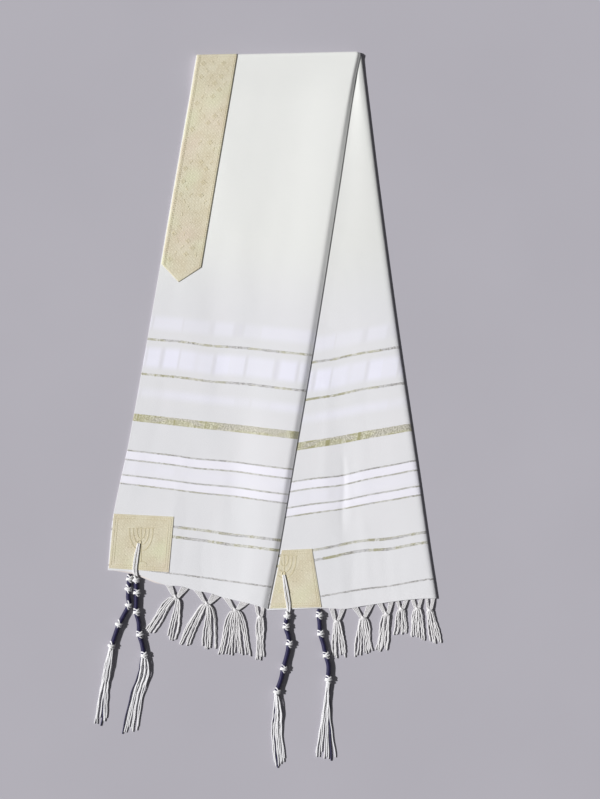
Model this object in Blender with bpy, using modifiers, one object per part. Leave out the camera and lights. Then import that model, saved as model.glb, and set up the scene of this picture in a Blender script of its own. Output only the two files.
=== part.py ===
"""A prayer shawl folded along its length, then over a crosswise fold, and laid flat.

Metres, +Z up, the shawl lies on z = 0. The crosswise fold is at +Y, the two legs run
towards -Y, the front leg lies on the back one. Looking down, +X is to the right.
"""
from math import cos, exp, pi, radians, sin

import bmesh
import bpy
from mathutils import Vector

MM = 0.001

# The cut and the fold
SHAWL_LENGTH = 1830 * MM
LEG_LENGTH = SHAWL_LENGTH / 2
CLOTH = 1.2 * MM
GAP = 0.3 * MM
LAYER = 1.2 * MM

# The rounded lengthwise folds
NOSE_RADIUS = 3.0 * MM
NOSE_RADIUS_AT_TOP = 2.3 * MM
NOSE_STEPS = 6
NOSE_RISE = 70 * MM
TUCK = 20 * MM
TUCK_AT_HEM = 8 * MM
FRONT_RETURN = 12 * MM
FRONT_RETURN_AT_HEM = 4 * MM
BACK_RETURN = 8 * MM

# The crosswise fold
TOP_RADIUS = 5.2 * MM
TOP_REACH = 80 * MM
TOP_RETURN = 8 * MM
TOP_STEPS = 6
BACK_START = 18 * MM

# Heights of the outer faces above the floor
ONE_LAYER_TOP = LAYER + GAP + CLOTH
BACK_LEG_RISE = 2.4 * MM
TOP_LIFT = 2.8 * MM
BACK_MIDDLE_RISE = 0.5 * MM
BACK_EDGE_HALF = 14 * MM

ROWS = 20
BACK_COLUMNS = (0.0, 0.1, 0.25, 0.4, 0.55, 0.7, 0.85, 1.0)
SELVEDGE_INSET = 0.5 * MM
UNDER_HEM = 3 * MM
EDGE_GROOVE = 0.7 * MM

# Trims
ATARAH_COLUMNS = (2 * MM, 18 * MM, 36 * MM, 54 * MM, 71 * MM)
ATARAH_SHOULDER = 370 * MM
ATARAH_TIP = 22 * MM
TRIM = 1.0 * MM
TRIM_GAP = 0.4 * MM

# Knotted fringe
FAN_ROOM = 0.6 * MM
FAN_HEIGHTS = (1.1 * MM, 1.7 * MM)
FAN_SECTIONS = ((0.49, 0.6 * MM), (0.27, 0.9 * MM))
FAN_NECK = (2.8 * MM, 1.4 * MM)
STRAND_RADIUS = 0.75 * MM
STRAND_TIP = 0.55 * MM
STRAND_ROOTS = 3.2 * MM
STRAND_STEPS = 3
FLOOR_CLEAR = 0.35 * MM
FRINGE_KNOT = (4.6 * MM, 4.0 * MM, 2.5 * MM)

# Corner tassels
CORD_RADIUS = 4.0 * MM
CORD_KNOT = 4.9 * MM
CORD_NECK = 2.0 * MM
CORD_SIDES = 8
TASSEL_STRANDS = 9
TASSEL_HEAD = 4.4 * MM
LOOP_WIDTH = 2.4 * MM
LOOP_HEIGHT = 1.0 * MM

# Outline in mm: share of the leg's length, then x and y of the front leg's selvedge,
# of its lengthwise fold and of the back leg's lengthwise fold
OUTLINE = (
    # along, selvedge x, y, front fold x, y, back fold x, y
    (0.00, -117.9, 592.2, 156.7, 598.6, 156.7, 598.6),
    (0.06, -127.0, 540.6, 143.3, 543.4, 163.5, 543.5),
    (0.25, -155.7, 377.1, 113.6, 365.6, 184.9, 369.1),
    (0.50, -192.6, 161.8, 76.2, 131.5, 215.7, 139.8),
    (0.75, -231.3, -53.2, 36.5, -102.3, 249.7, -88.9),
    (0.90, -258.1, -181.3, 14.3, -242.7, 269.5, -226.2),
    (1.00, -266.3, -267.5, -2.2, -336.1, 283.2, -319.0),
)
# The back leg's selvedge, under the front leg, in mm: top x, y and hem x, y
HIDDEN_SELVEDGE = (-117.9, 593.6, 1.2, -331.0)

# How far each hem is drawn up from a straight line, in mm, by share of the width
FRONT_HEM = (
    # across, drawn up
    (0.00, 0.0), (0.15, 6.5), (0.36, 0.0), (0.46, 4.5), (0.55, 3.5),
    (0.64, 5.5), (0.72, 4.0), (0.90, 5.5), (1.00, 4.0),
)
BACK_HEM = (
    # across, drawn up
    (0.00, 1.5), (0.33, -0.5), (0.46, -4.0), (0.56, -1.0), (0.68, 2.0),
    (0.82, 5.0), (0.92, 5.5), (1.00, 4.5),
)
HEM_REACH = 0.10

# Soft undulations in mm: centre x, y, half width across, half length along, height
SWELLS = (
    # x, y, half width, half length, height
    (-130, 200, 34, 150, 0.7),
    (-20, 60, 30, 170, -0.5),
    (-90, -60, 36, 120, 0.6),
    (-150, -200, 40, 70, 0.5),
    (-60, -250, 34, 80, 0.7),
    (127, -150, 18, 90, -0.9),
    (175, -90, 34, 150, 0.8),
    (210, -260, 28, 70, 0.7),
    (90, -290, 30, 60, 0.6),
)

# Corner patches in mm: corners top left, top right, bottom right, bottom left
FRONT_PATCH = ((-254.6, -173.1), (-156.0, -178.1), (-164.4, -270.9), (-262.2, -264.2))
BACK_PATCH = ((22.9, -234.1), (74.7, -231.6), (90.8, -329.4), (1.8, -331.5))
PATCH_GRID = 6

# Fringe bundles in mm: knot x, y, root from x to x, strand ends left x, y and right x, y,
# strands
FRONT_BUNDLES = (
    # knot x, y, root left, root right, left end x, y, right end x, y, strands
    (-153.2, -313.8, -170, -131, -205.3, -369.5, -153.2, -384.9, 10),
    (-100.8, -324.4, -123, -78, -150.2, -391.2, -85.8, -401.9, 11),
    (-53.2, -334.7, -75, -30, -82.4, -406.3, -28.3, -411.3, 11),
    (-12.0, -346.0, -21, -5, -18.5, -416.3, -5.5, -416.3, 5),
)
BACK_BUNDLES = (
    # knot x, y, root left, root right, left end x, y, right end x, y, strands
    (115.9, -353.3, 104, 130, 108.5, -414.7, 132.2, -411.3, 8),
    (160.3, -347.8, 142, 178, 146.6, -411.3, 175.6, -404.6, 9),
    (199.1, -341.4, 184, 211, 181.1, -403.8, 200.6, -402.3, 8),
    (224.2, -333.0, 215, 236, 210.7, -377.9, 232.4, -374.0, 7),
    (250.5, -332.4, 240, 260, 240.2, -378.2, 262.5, -383.6, 8),
    (271.4, -334.4, 265, 280, 272.7, -387.9, 291.0, -389.6, 7),
)

# Corner tassels in mm: centre line of the wound cord with 1 at a knot and -1 at a thin
# neck, the tassel's middle line below the cord, and half its spread at the ends
TZITZIYOT = {
    "tzitzit_left": {
        "cord": ((-230.3, -274.0, -1), (-230.2, -281.5, 1), (-231.5, -298.5, 1), (-232.0, -312.0, 0),
                 (-231.0, -325.4, 1), (-239.0, -341.8, 0), (-247.3, -357.8, 1),
                 (-254.6, -377.9, 0), (-259.7, -393.6, 1)),
        "tassel": ((-268.0, -440.0), (-274.0, -475.0), (-279.5, -527.9)),
        "spread": 11.0,
    },
    "tzitzit_front": {
        "cord": ((-217.6, -284.0, 1), (-217.0, -304.3, 1), (-217.3, -321.0, 0),
                 (-218.0, -336.9, 1), (-214.5, -355.1, 0), (-213.5, -374.5, 1),
                 (-208.8, -391.2, 0), (-206.0, -409.0, 1)),
        "tassel": ((-203.0, -440.0), (-221.0, -475.0), (-231.2, -543.5)),
        "spread": 11.0,
    },
    "tzitzit_back": {
        "cord": ((33.8, -344.0, 1), (30.8, -361.2, 1), (35.5, -377.4, 0),
                 (36.3, -389.6, 1), (33.4, -407.3, 0), (26.9, -431.4, 1),
                 (23.2, -449.0, 0), (15.7, -470.0, 1)),
        "tassel": ((17.5, -505.0), (17.1, -541.7), (23.0, -597.6)),
        "spread": 11.0,
    },
    "tzitzit_right": {
        "cord": ((85.8, -332.0, -1), (86.2, -342.5, 1), (87.6, -357.0, 0), (88.6, -372.9, 1),
                 (94.0, -391.3, 0), (97.8, -409.1, 1), (102.5, -427.7, 0),
                 (101.5, -449.1, 1)),
        "tassel": ((100.3, -483.0), (98.5, -530.0), (97.3, -586.0)),
        "spread": 19.0,
    },
}
# White strands over the patches, in mm: from the eyelet to the wound cord
LOOPS = {
    "loop_front": ((-214.5, -222.4), (-219.5, -250.0), (-221.0, -268.0), (-217.7, -283.6)),
    "loop_back": ((27.4, -275.2), (32.0, -304.0), (35.6, -328.0), (34.0, -343.6)),
}
LOOP_CARRIERS = {"loop_front": "front", "loop_back": "back"}

COLOURS = {
    # base colour, roughness, metallic
    "cloth": ((0.76, 0.75, 0.73), 0.75, 0.0),
    "under_cloth": ((0.70, 0.66, 0.64), 0.8, 0.0),
    "brocade": ((0.64, 0.59, 0.47), 0.6, 0.0),
    "white_yarn": ((0.80, 0.79, 0.76), 0.8, 0.0),
    "navy_thread": ((0.02, 0.025, 0.06), 0.6, 0.0),
}


def lerp(start, end, share):
    return start + (end - start) * share


def smooth(share):
    share = min(max(share, 0.0), 1.0)
    return share * share * (3 - 2 * share)


def cubic_read(table, column, key):
    """Reads one column of a table on a smooth curve through its rows."""
    last = len(table) - 1
    index = 0
    while index < last - 1 and key > table[index + 1][0]:
        index += 1
    before, here = table[max(index - 1, 0)], table[index]
    after, beyond = table[index + 1], table[min(index + 2, last)]
    span = after[0] - here[0]
    slope_here = (after[column] - before[column]) / (after[0] - before[0])
    slope_after = (beyond[column] - here[column]) / (beyond[0] - here[0])
    f = (key - here[0]) / span
    return ((2 * f**3 - 3 * f**2 + 1) * here[column] + (f**3 - 2 * f**2 + f) * span * slope_here
            + (3 * f**2 - 2 * f**3) * after[column] + (f**3 - f**2) * span * slope_after)


def outline_point(edge, along):
    """A point in plan on the selvedge (0), the front fold (1) or the back fold (2)."""
    x = cubic_read(OUTLINE, 1 + 2 * edge, along)
    y = cubic_read(OUTLINE, 2 + 2 * edge, along)
    return Vector((x, y)) * MM


def hem_lift(table, along, across):
    share = smooth((along - 1 + HEM_REACH) / HEM_REACH)
    return cubic_read(table, 1, min(max(across, 0.0), 1.0)) * MM * share


def front_plan(along, across):
    """Plan point on the front leg, across = 0 at the selvedge and 1 at the fold."""
    point = outline_point(0, along).lerp(outline_point(1, along), across)
    point.y += hem_lift(FRONT_HEM, along, across)
    return point


def back_plan(along, across):
    """Plan point on the back leg, across = 0 at the front leg's fold and 1 at its own."""
    point = outline_point(1, along).lerp(outline_point(2, along), across)
    point.y += hem_lift(BACK_HEM, along, across)
    return point


def front_width(along):
    return (outline_point(1, along) - outline_point(0, along)).length


def back_width(along):
    return (outline_point(2, along) - outline_point(1, along)).length


def near_top(along):
    """1 at the crosswise fold, 0 further down than TOP_REACH."""
    return smooth(1 - (along * LEG_LENGTH - TOP_RADIUS) / TOP_REACH)


def swell(point):
    total = 0.0
    for x, y, half_width, half_length, height in SWELLS:
        across = (point.x / MM - x) / half_width
        along = (point.y / MM - y) / half_length
        total += height * exp(-across**2 - along**2)
    return total * MM


def over_back_leg(point):
    """0 left of the back leg's hidden selvedge, 1 right of it."""
    top_x, top_y, hem_x, hem_y = [value * MM for value in HIDDEN_SELVEDGE]
    edge_x = lerp(top_x, hem_x, (top_y - point.y) / (top_y - hem_y))
    return smooth((point.x - edge_x + BACK_EDGE_HALF) / (2 * BACK_EDGE_HALF))


def back_level(along):
    """Outer height of the back leg where the front leg's fold rests on it."""
    return ONE_LAYER_TOP + TOP_LIFT * near_top(along)


def front_nose_radius(along):
    return lerp(NOSE_RADIUS, NOSE_RADIUS_AT_TOP, near_top(along))


def front_height(along, across):
    """Outer height of the front leg."""
    point = front_plan(along, across)
    from_fold = front_width(along) * (1 - across)
    flat = ONE_LAYER_TOP + BACK_LEG_RISE * over_back_leg(point)
    flat += swell(point) * smooth(from_fold / NOSE_RISE)
    nose_top = back_level(along) + GAP + 2 * front_nose_radius(along)
    height = lerp(flat, nose_top, smooth(1 - from_fold / NOSE_RISE) ** 1.5)
    return lerp(height, 2 * TOP_RADIUS, near_top(along))


def back_height(along, across):
    """Outer height of the back leg right of the front leg's fold."""
    width = back_width(along)
    from_front, from_fold = width * across, width * (1 - across)
    rise = min(NOSE_RISE, 0.8 * width)
    swell_share = smooth(from_front / NOSE_RISE) * smooth(from_fold / rise)
    flat = back_level(along) + BACK_MIDDLE_RISE * smooth(from_front / NOSE_RISE)
    flat += swell(back_plan(along, across)) * swell_share
    return lerp(flat, 2 * NOSE_RADIUS, smooth(1 - from_fold / rise) ** 1.5)


def tuck(along):
    return lerp(TUCK, TUCK_AT_HEM, smooth((along - 0.7) / 0.3))


def front_columns(along):
    """Shares of the width at which the front leg has a column, up to its rounded fold."""
    width = front_width(along)
    edge = [share * MM / width for share in (0, 4, 18, 36, 54, 73)]
    middle = [0.37, 0.48, 0.59, 0.70, 0.80]
    ends = [1 - (tuck(along) + 1 * MM) / width, 1 - 0.6 * tuck(along) / width]
    return edge + middle + ends


def back_low(along, share):
    """Plan point and outer height on the back leg, share = 0 at its tuck under the front
    leg and 1 where its return ends on the floor."""
    tucked, width = tuck(along), back_width(along)
    way = share * (tucked + width - NOSE_RADIUS - BACK_RETURN - 0.5 * MM)
    if way < tucked:
        return front_plan(along, 1 - (tucked - way) / front_width(along)), back_level(along)
    across = (way - tucked) / width
    return back_plan(along, across), back_height(along, across)


def turned(point, height, angle):
    """A point of the first row, turned about the crosswise fold's inner axis."""
    radius = height - TOP_RADIUS
    return Vector((point.x, point.y + radius * sin(angle), TOP_RADIUS + radius * cos(angle)))


def row_shares():
    """Shares of the leg's length at which there is a row, closer near the top and the hem."""
    first = TOP_RADIUS / LEG_LENGTH
    rows = [first, BACK_START / LEG_LENGTH, 0.035, 0.06]
    inner = ROWS - len(rows) - 2
    rows += [lerp(0.06, 0.94, (step + 1) / inner) for step in range(inner)]
    return rows + [0.97, 1.0]


def unit(vector):
    return vector / vector.length


def fold_section(centre, outwards, radius, top, back_length):
    """Outer points of a rounded fold: its half circle, then its flat return."""
    points = []
    for step in range(NOSE_STEPS + 1):
        angle = pi * step / NOSE_STEPS
        plan = centre + outwards * radius * sin(angle)
        points.append(Vector((plan.x, plan.y, top - radius + radius * cos(angle))))
    for share in (0.5, 1.0):
        plan = centre - outwards * back_length * share
        points.append(Vector((plan.x, plan.y, top - 2 * radius)))
    return points


def front_section(along):
    """Outer points of the front leg's wall at one row, from selvedge to return."""
    points = []
    for across in front_columns(along):
        plan = front_plan(along, across)
        points.append(Vector((plan.x, plan.y, front_height(along, across))))
    radius = front_nose_radius(along)
    outwards = unit(outline_point(1, along) - outline_point(0, along))
    centre = front_plan(along, 1.0) - outwards * radius
    returned = lerp(FRONT_RETURN, FRONT_RETURN_AT_HEM, smooth((along - 0.7) / 0.3))
    top = back_level(along) + GAP + 2 * radius
    return points + fold_section(centre, outwards, radius, top, returned)


def top_fold_rows(section):
    """The rows that carry a section over the crosswise fold and back along the floor."""
    rows = []
    for step in range(TOP_STEPS, 0, -1):
        rows.append([turned(point, point.z, pi * step / TOP_STEPS) for point in section])
    below = [point - Vector((0, TOP_RETURN, 0)) for point in rows[0]]
    return [below] + rows


def back_section(along):
    """Outer points of the back leg's wall at one row, from its tuck to its return."""
    points = []
    for share in BACK_COLUMNS:
        plan, height = back_low(along, share)
        points.append(Vector((plan.x, plan.y, height)))
    outwards = unit(outline_point(2, along) - outline_point(1, along))
    centre = back_plan(along, 1.0) - outwards * NOSE_RADIUS
    return points + fold_section(centre, outwards, NOSE_RADIUS, 2 * NOSE_RADIUS, BACK_RETURN)


def grid_object(name, rows, material, thickness, offset):
    """A surface through rows of points, thickened with Solidify."""
    mesh = bpy.data.meshes.new(name)
    count = len(rows[0])
    points = [point for row in rows for point in row]
    faces = []
    for row in range(len(rows) - 1):
        for column in range(count - 1):
            corner = row * count + column
            faces.append((corner, corner + count, corner + count + 1, corner + 1))
    mesh.from_pydata(points, [], faces)
    obj = add_object(name, mesh, material)
    solidify = obj.modifiers.new("Thickness", "SOLIDIFY")
    solidify.thickness = thickness
    solidify.offset = offset
    solidify.use_even_offset = True
    return obj


def add_object(name, mesh, material):
    mesh.materials.append(material)
    obj = bpy.data.objects.new(name, mesh)
    part_collection.objects.link(obj)
    return obj


def make_material(name):
    colour, roughness, metallic = COLOURS[name]
    material = bpy.data.materials.new(name)
    material.use_nodes = True
    shader = material.node_tree.nodes["Principled BSDF"]
    shader.inputs["Base Color"].default_value = (*colour, 1.0)
    shader.inputs["Roughness"].default_value = roughness
    shader.inputs["Metallic"].default_value = metallic
    return material


def hidden_row(along, angle=0.0, floor=0.0):
    """Top and bottom points of the hidden layers at one row."""
    tops, inset, width = [], CLOTH + GAP, front_width(along)
    shown = front_columns(along)[:-1]
    shown[0] = SELVEDGE_INSET / width
    for across in shown:
        plan = front_plan(along, across)
        peek = smooth(across / 0.15) * smooth((0.38 - across) / 0.10)
        plan.y -= UNDER_HEM * smooth((along - 0.97) / 0.03) * peek
        tops.append((plan, front_height(along, across) - inset))
    reaches_back = along * LEG_LENGTH >= BACK_START - GAP
    for index, share in enumerate(BACK_COLUMNS):
        if reaches_back:
            plan, height = back_low(along, share)
        else:
            plan = front_plan(along, 1 - (tuck(along) - GAP * index) / width)
            height = back_level(along)
        tops.append((plan, height - inset))
    points = [Vector((plan.x, plan.y, height)) for plan, height in tops]
    if angle:
        points = [turned(plan, height, angle) for plan, height in tops]
        floor = lerp(TOP_RADIUS, floor, cos(angle))
    return points, [Vector((point.x, point.y, floor)) for point in points]


def hidden_layers():
    """One solid for all layers that don't show, flat below, grooved at its edges."""
    first = TOP_RADIUS / LEG_LENGTH
    over_return = CLOTH + GAP
    rows = [hidden_row(first, radians(angle), over_return) for angle in (80, 55, 30)]
    rows.append(hidden_row(first, 0.0, over_return))
    end = first + TOP_RETURN / LEG_LENGTH
    rows.append(hidden_row(end + 4 * GAP / LEG_LENGTH, 0.0, over_return))
    rows.append(hidden_row(end + 6 * GAP / LEG_LENGTH))
    rows += [hidden_row(along) for along in row_shares()[1:]]
    return rows


def closed_layers(name, rows, material):
    """Joins the top and bottom grids with grooved sides into one closed solid."""
    mesh = bmesh.new()
    row_count, column_count = len(rows), len(rows[0][0])
    tops = [[mesh.verts.new(point) for point in row[0]] for row in rows]
    bottoms = [[mesh.verts.new(point) for point in row[1]] for row in rows]
    for row in range(row_count - 1):
        for column in range(column_count - 1):
            quad = [(row, column), (row + 1, column), (row + 1, column + 1), (row, column + 1)]
            mesh.faces.new([tops[r][c] for r, c in quad])
            mesh.faces.new([bottoms[r][c] for r, c in reversed(quad)])
    last_row, last_column = row_count - 1, column_count - 1
    rim = [(row, 0) for row in range(last_row)]
    rim += [(last_row, column) for column in range(last_column)]
    rim += [(row, last_column) for row in range(last_row, 0, -1)]
    rim += [(0, column) for column in range(last_column, 0, -1)]
    sides = []
    for row, column in rim:
        top, bottom = tops[row][column], bottoms[row][column]
        inner = rows[min(max(row, 1), last_row - 1)][0][min(max(column, 1), last_column - 1)]
        inwards = Vector((inner.x - top.co.x, inner.y - top.co.y, 0))
        height = top.co.z - bottom.co.z
        depth = EDGE_GROOVE * smooth((height - LAYER) / (2 * MM))
        side = [top]
        for share, sunk in ((0.56, 0.0), (0.5, 1.0), (0.44, 0.0)):
            place = top.co.lerp(bottom.co, 1 - share) + unit(inwards) * depth * sunk
            side.append(mesh.verts.new(place))
        sides.append(side + [bottom])
    for index, side in enumerate(sides):
        after = sides[(index + 1) % len(sides)]
        for step in range(len(side) - 1):
            mesh.faces.new((side[step], side[step + 1], after[step + 1], after[step]))
    return mesh_object(name, mesh, material)


def locate(plan, plan_of):
    """Row and column shares of a plan point on a leg."""
    low, high = 0.0, 1.0
    for _ in range(30):
        along = (low + high) / 2
        start, end = plan_of(along, 0.0), plan_of(along, 1.0)
        across = (plan.x - start.x) / (end.x - start.x)
        if plan_of(along, min(max(across, 0.0), 1.0)).y > plan.y:
            low = along
        else:
            high = along
    return along, min(max(across, 0.0), 1.0)


def leg_height(plan, leg):
    """Outer height of a leg at a plan point."""
    if leg == "front":
        return front_height(*locate(plan, front_plan))
    return back_height(*locate(plan, back_plan))


def patch(name, corners, leg, material):
    """A corner patch made from its panel's points, moved out."""
    top_left, top_right, bottom_right, bottom_left = [Vector(corner) * MM for corner in corners]
    rows = []
    for row in range(PATCH_GRID + 1):
        left = top_left.lerp(bottom_left, row / PATCH_GRID)
        right = top_right.lerp(bottom_right, row / PATCH_GRID)
        line = []
        for column in range(PATCH_GRID + 1):
            plan = left.lerp(right, column / PATCH_GRID)
            line.append(Vector((plan.x, plan.y, leg_height(plan, leg) + TRIM_GAP)))
        rows.append(line)
    return grid_object(name, rows, material, TRIM, 1.0)


def atarah(material):
    """The neckband, from its pointed end on the front leg over the crosswise fold."""
    first = TOP_RADIUS / LEG_LENGTH
    shoulder = ATARAH_SHOULDER / LEG_LENGTH
    stops = [along for along in row_shares() if along < shoulder - 0.01] + [shoulder]
    rows = []
    for angle in (135, 120, 90, 60, 30):
        line = []
        for place in ATARAH_COLUMNS:
            across = place / front_width(first)
            height = front_height(first, across) + TRIM_GAP
            line.append(turned(front_plan(first, across), height, radians(angle)))
        rows.append(line)
    for along in stops:
        line = []
        for index, place in enumerate(ATARAH_COLUMNS):
            pointed = 1 - abs(index - 2) / 2 if along == shoulder else 0.0
            reach = along + ATARAH_TIP * pointed / LEG_LENGTH
            across = place / front_width(along)
            plan = front_plan(reach, across)
            line.append(Vector((plan.x, plan.y, front_height(reach, across) + TRIM_GAP)))
        rows.append(line)
    return grid_object("atarah", rows, material, TRIM, 1.0)


def smooth_path(points, steps):
    """Points on a smooth curve through the given ones."""
    table = [(float(index), *point) for index, point in enumerate(points)]
    result = []
    for step in range(steps + 1):
        key = (len(points) - 1) * step / steps
        result.append([cubic_read(table, column + 1, key) for column in range(len(points[0]))])
    return result


def sweep(mesh, path, sizes, sides, start_angle=0.0):
    """A closed tube of elliptic sections along a path, with flat ends."""
    rings = []
    for index, point in enumerate(path):
        before, after = path[max(index - 1, 0)], path[min(index + 1, len(path) - 1)]
        along = unit(Vector(after) - Vector(before))
        across = unit(along.cross(Vector((0, 0, 1))))
        up = across.cross(along)
        half_width, half_height = sizes[index]
        ring = []
        for side in range(sides):
            angle = start_angle + 2 * pi * side / sides
            offset = across * half_width * cos(angle) + up * half_height * sin(angle)
            ring.append(mesh.verts.new(Vector(point) + offset))
        rings.append(ring)
    for ring, following in zip(rings, rings[1:]):
        for side in range(sides):
            after = (side + 1) % sides
            mesh.faces.new((ring[side], following[side], following[after], ring[after]))
    mesh.faces.new(list(reversed(rings[0])))
    mesh.faces.new(rings[-1])


def mesh_object(name, mesh, material):
    bmesh.ops.recalc_face_normals(mesh, faces=mesh.faces)
    data = bpy.data.meshes.new(name)
    mesh.to_mesh(data)
    mesh.free()
    return add_object(name, data, material)


def hide_as_tool(obj):
    part_collection.objects.unlink(obj)
    tool_collection.objects.link(obj)
    obj.hide_render = True
    obj.display_type = "WIRE"


def fuse(obj, tools):
    """Fuses shapes to an object with Boolean unions."""
    for tool in tools:
        hide_as_tool(tool)
        union = obj.modifiers.new("Fuse " + tool.name, "BOOLEAN")
        union.operation = "UNION"
        union.solver = "EXACT"
        union.use_self = True
        union.object = tool


def strand_fan(mesh, root, ends, count, heading):
    """Strands from a knot, in two layers at the root and side by side at their ends."""
    left_end, right_end = ends
    side = Vector((heading.y, -heading.x))
    for index in range(count):
        share = index / (count - 1)
        layer = index % 2
        offset = side * -(2 * share - 1) * STRAND_ROOTS
        end = left_end.lerp(right_end, share)
        uneven = 1 + 0.05 * sin(2.7 * index + 40 * root.x) - 0.04 * (1 - layer)
        end = root.xy + (end - root.xy) * uneven
        path, sizes = [], []
        for step in range(STRAND_STEPS + 1):
            f = step / STRAND_STEPS
            plan = (root.xy + offset).lerp(end, f)
            plan += heading * (root.xy - end).length * 0.10 * sin(pi * f)
            root_height = root.z + (0.9 if layer else -0.7) * MM
            height = lerp(root_height, FLOOR_CLEAR + STRAND_RADIUS, smooth(f * 1.1))
            path.append(Vector((plan.x, plan.y, height)))
            sizes.append((lerp(STRAND_RADIUS, STRAND_TIP, f),) * 2)
        sweep(mesh, path, sizes, 3, pi / 2)


def fringe(name, bundles, section, material):
    """Knotted bundles of one leg: each a narrow fan at the hem, a knot and its strands."""
    drop = Vector((0, -(GAP + FAN_ROOM)))
    hem = [point.xy for point in section[:-NOSE_STEPS - 2]]
    for number, bundle in enumerate(bundles, 1):
        knot_x, knot_y, left, right, left_x, left_y, right_x, right_y, count = bundle
        knot = Vector((knot_x * MM, knot_y * MM, FLOOR_CLEAR + FRINGE_KNOT[2]))
        left_root, right_root = hem_point(hem, left * MM) + drop, hem_point(hem, right * MM) + drop
        root, width = (left_root + right_root) / 2, (right_root - left_root).length
        away = Vector((right_root.y - left_root.y, left_root.x - right_root.x)) / width
        middle = root + away * (knot.xy - root).length / 2
        path = [(*root, FAN_HEIGHTS[0]), (*middle, FAN_HEIGHTS[1]), tuple(knot)]
        sizes = [(width * share, height) for share, height in FAN_SECTIONS] + [FAN_NECK]
        fan, ball, strands = bmesh.new(), bmesh.new(), bmesh.new()
        sweep(fan, path, sizes, 6)
        bmesh.ops.create_uvsphere(ball, u_segments=8, v_segments=5, radius=1.0)
        bmesh.ops.scale(ball, verts=ball.verts, vec=FRINGE_KNOT)
        bmesh.ops.translate(ball, verts=ball.verts, vec=knot)
        ends = Vector((left_x, left_y)) * MM, Vector((right_x, right_y)) * MM
        heading = unit((ends[0] + ends[1]) / 2 - knot.xy)
        strand_fan(strands, knot, ends, count, heading)
        title = f"{name}_{number}"
        body = mesh_object(title, fan, material)
        fuse(body, [mesh_object(title + "_knot", ball, material),
                    mesh_object(title + "_strands", strands, material)])


def hem_point(hem, x):
    """The point of a hem's outline at a given x."""
    for start, end in zip(hem, hem[1:]):
        if x <= end.x:
            break
    return start.lerp(end, (x - start.x) / (end.x - start.x))


def wound_cord(name, points, material):
    """A wound cord on the floor with a bulge at each knot."""
    mesh = bmesh.new()
    path, sizes = [], []
    stops = 3 * (len(points) - 1)
    for x, y, knot in smooth_path(points, stops):
        radius = lerp(CORD_RADIUS, CORD_KNOT, smooth((knot - 0.45) / 0.45))
        radius = lerp(radius, CORD_NECK, min(max(-knot, 0.0), 1.0))
        path.append((x * MM, y * MM, FLOOR_CLEAR + radius))
        sizes.append((radius, radius))
    sweep(mesh, path, sizes, CORD_SIDES)
    return mesh_object(name + "_cord", mesh, material)


def tassel(name, cord, points, spread, material):
    """A head and the white strands that hang from a wound cord's last knot."""
    head, strands = bmesh.new(), bmesh.new()
    cord_end, cord_before = Vector(cord[-1][:2]), Vector(cord[-2][:2])
    start = cord_end + unit(cord_end - cord_before) * (TASSEL_HEAD + GAP) / MM
    points = (tuple(start), *points)
    centre = Vector((start.x * MM, start.y * MM, FLOOR_CLEAR + TASSEL_HEAD))
    bmesh.ops.create_uvsphere(head, u_segments=8, v_segments=6, radius=TASSEL_HEAD)
    bmesh.ops.translate(head, verts=head.verts, vec=centre)
    for index in range(TASSEL_STRANDS):
        offset = 2 * index / (TASSEL_STRANDS - 1) - 1
        layer = index % 2
        path, sizes = [], []
        for step, (x, y) in enumerate(smooth_path(points, 7)):
            f = step / 7
            here = Vector((x, y)) * MM
            before = Vector(smooth_path(points, 14)[max(2 * step - 1, 0)]) * MM
            after = Vector(smooth_path(points, 14)[min(2 * step + 1, 14)]) * MM
            heading = unit(after - before)
            side = Vector((-heading.y, heading.x))
            width = lerp(3.2, spread, smooth(f * 0.9 + 0.05)) * MM
            plan = here + side * width * offset
            if step == 7:
                plan += heading * 2.5 * MM * sin(3.1 * index)
            root_height = centre.z + (1.6 if layer else -1.4) * MM
            height = lerp(root_height, FLOOR_CLEAR + STRAND_RADIUS, smooth(f * 1.5))
            path.append(Vector((plan.x, plan.y, height)))
            sizes.append((lerp(STRAND_RADIUS, STRAND_TIP, f),) * 2)
        sweep(strands, path, sizes, 3, pi / 2)
    body = mesh_object(name + "_tassel", head, material)
    fuse(body, [mesh_object(name + "_strands", strands, material)])


def loop(name, points, material):
    """White strands that lie on a corner patch from its eyelet to the wound cord."""
    leg = LOOP_CARRIERS[name]
    mesh = bmesh.new()
    path = []
    on_patch = TRIM_GAP + TRIM + GAP + LOOP_HEIGHT
    steps = 8
    lying = None
    for step, (x, y) in enumerate(smooth_path(points, steps)):
        plan = Vector((x, y)) * MM
        if step < steps - 1 or lying is None:
            lying = leg_height(plan, leg) + on_patch
        path.append((plan.x, plan.y, lying))
    sweep(mesh, path, [(LOOP_WIDTH, LOOP_HEIGHT)] * (steps + 1), 6)
    return mesh_object(name, mesh, material)


def new_collection(name):
    collection = bpy.data.collections.new(name)
    bpy.context.scene.collection.children.link(collection)
    return collection


for old in list(bpy.data.objects):
    bpy.data.objects.remove(old, do_unlink=True)
part_collection = new_collection("prayer_shawl")
tool_collection = new_collection("fused_shapes")
materials = {name: make_material(name) for name in COLOURS}

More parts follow.
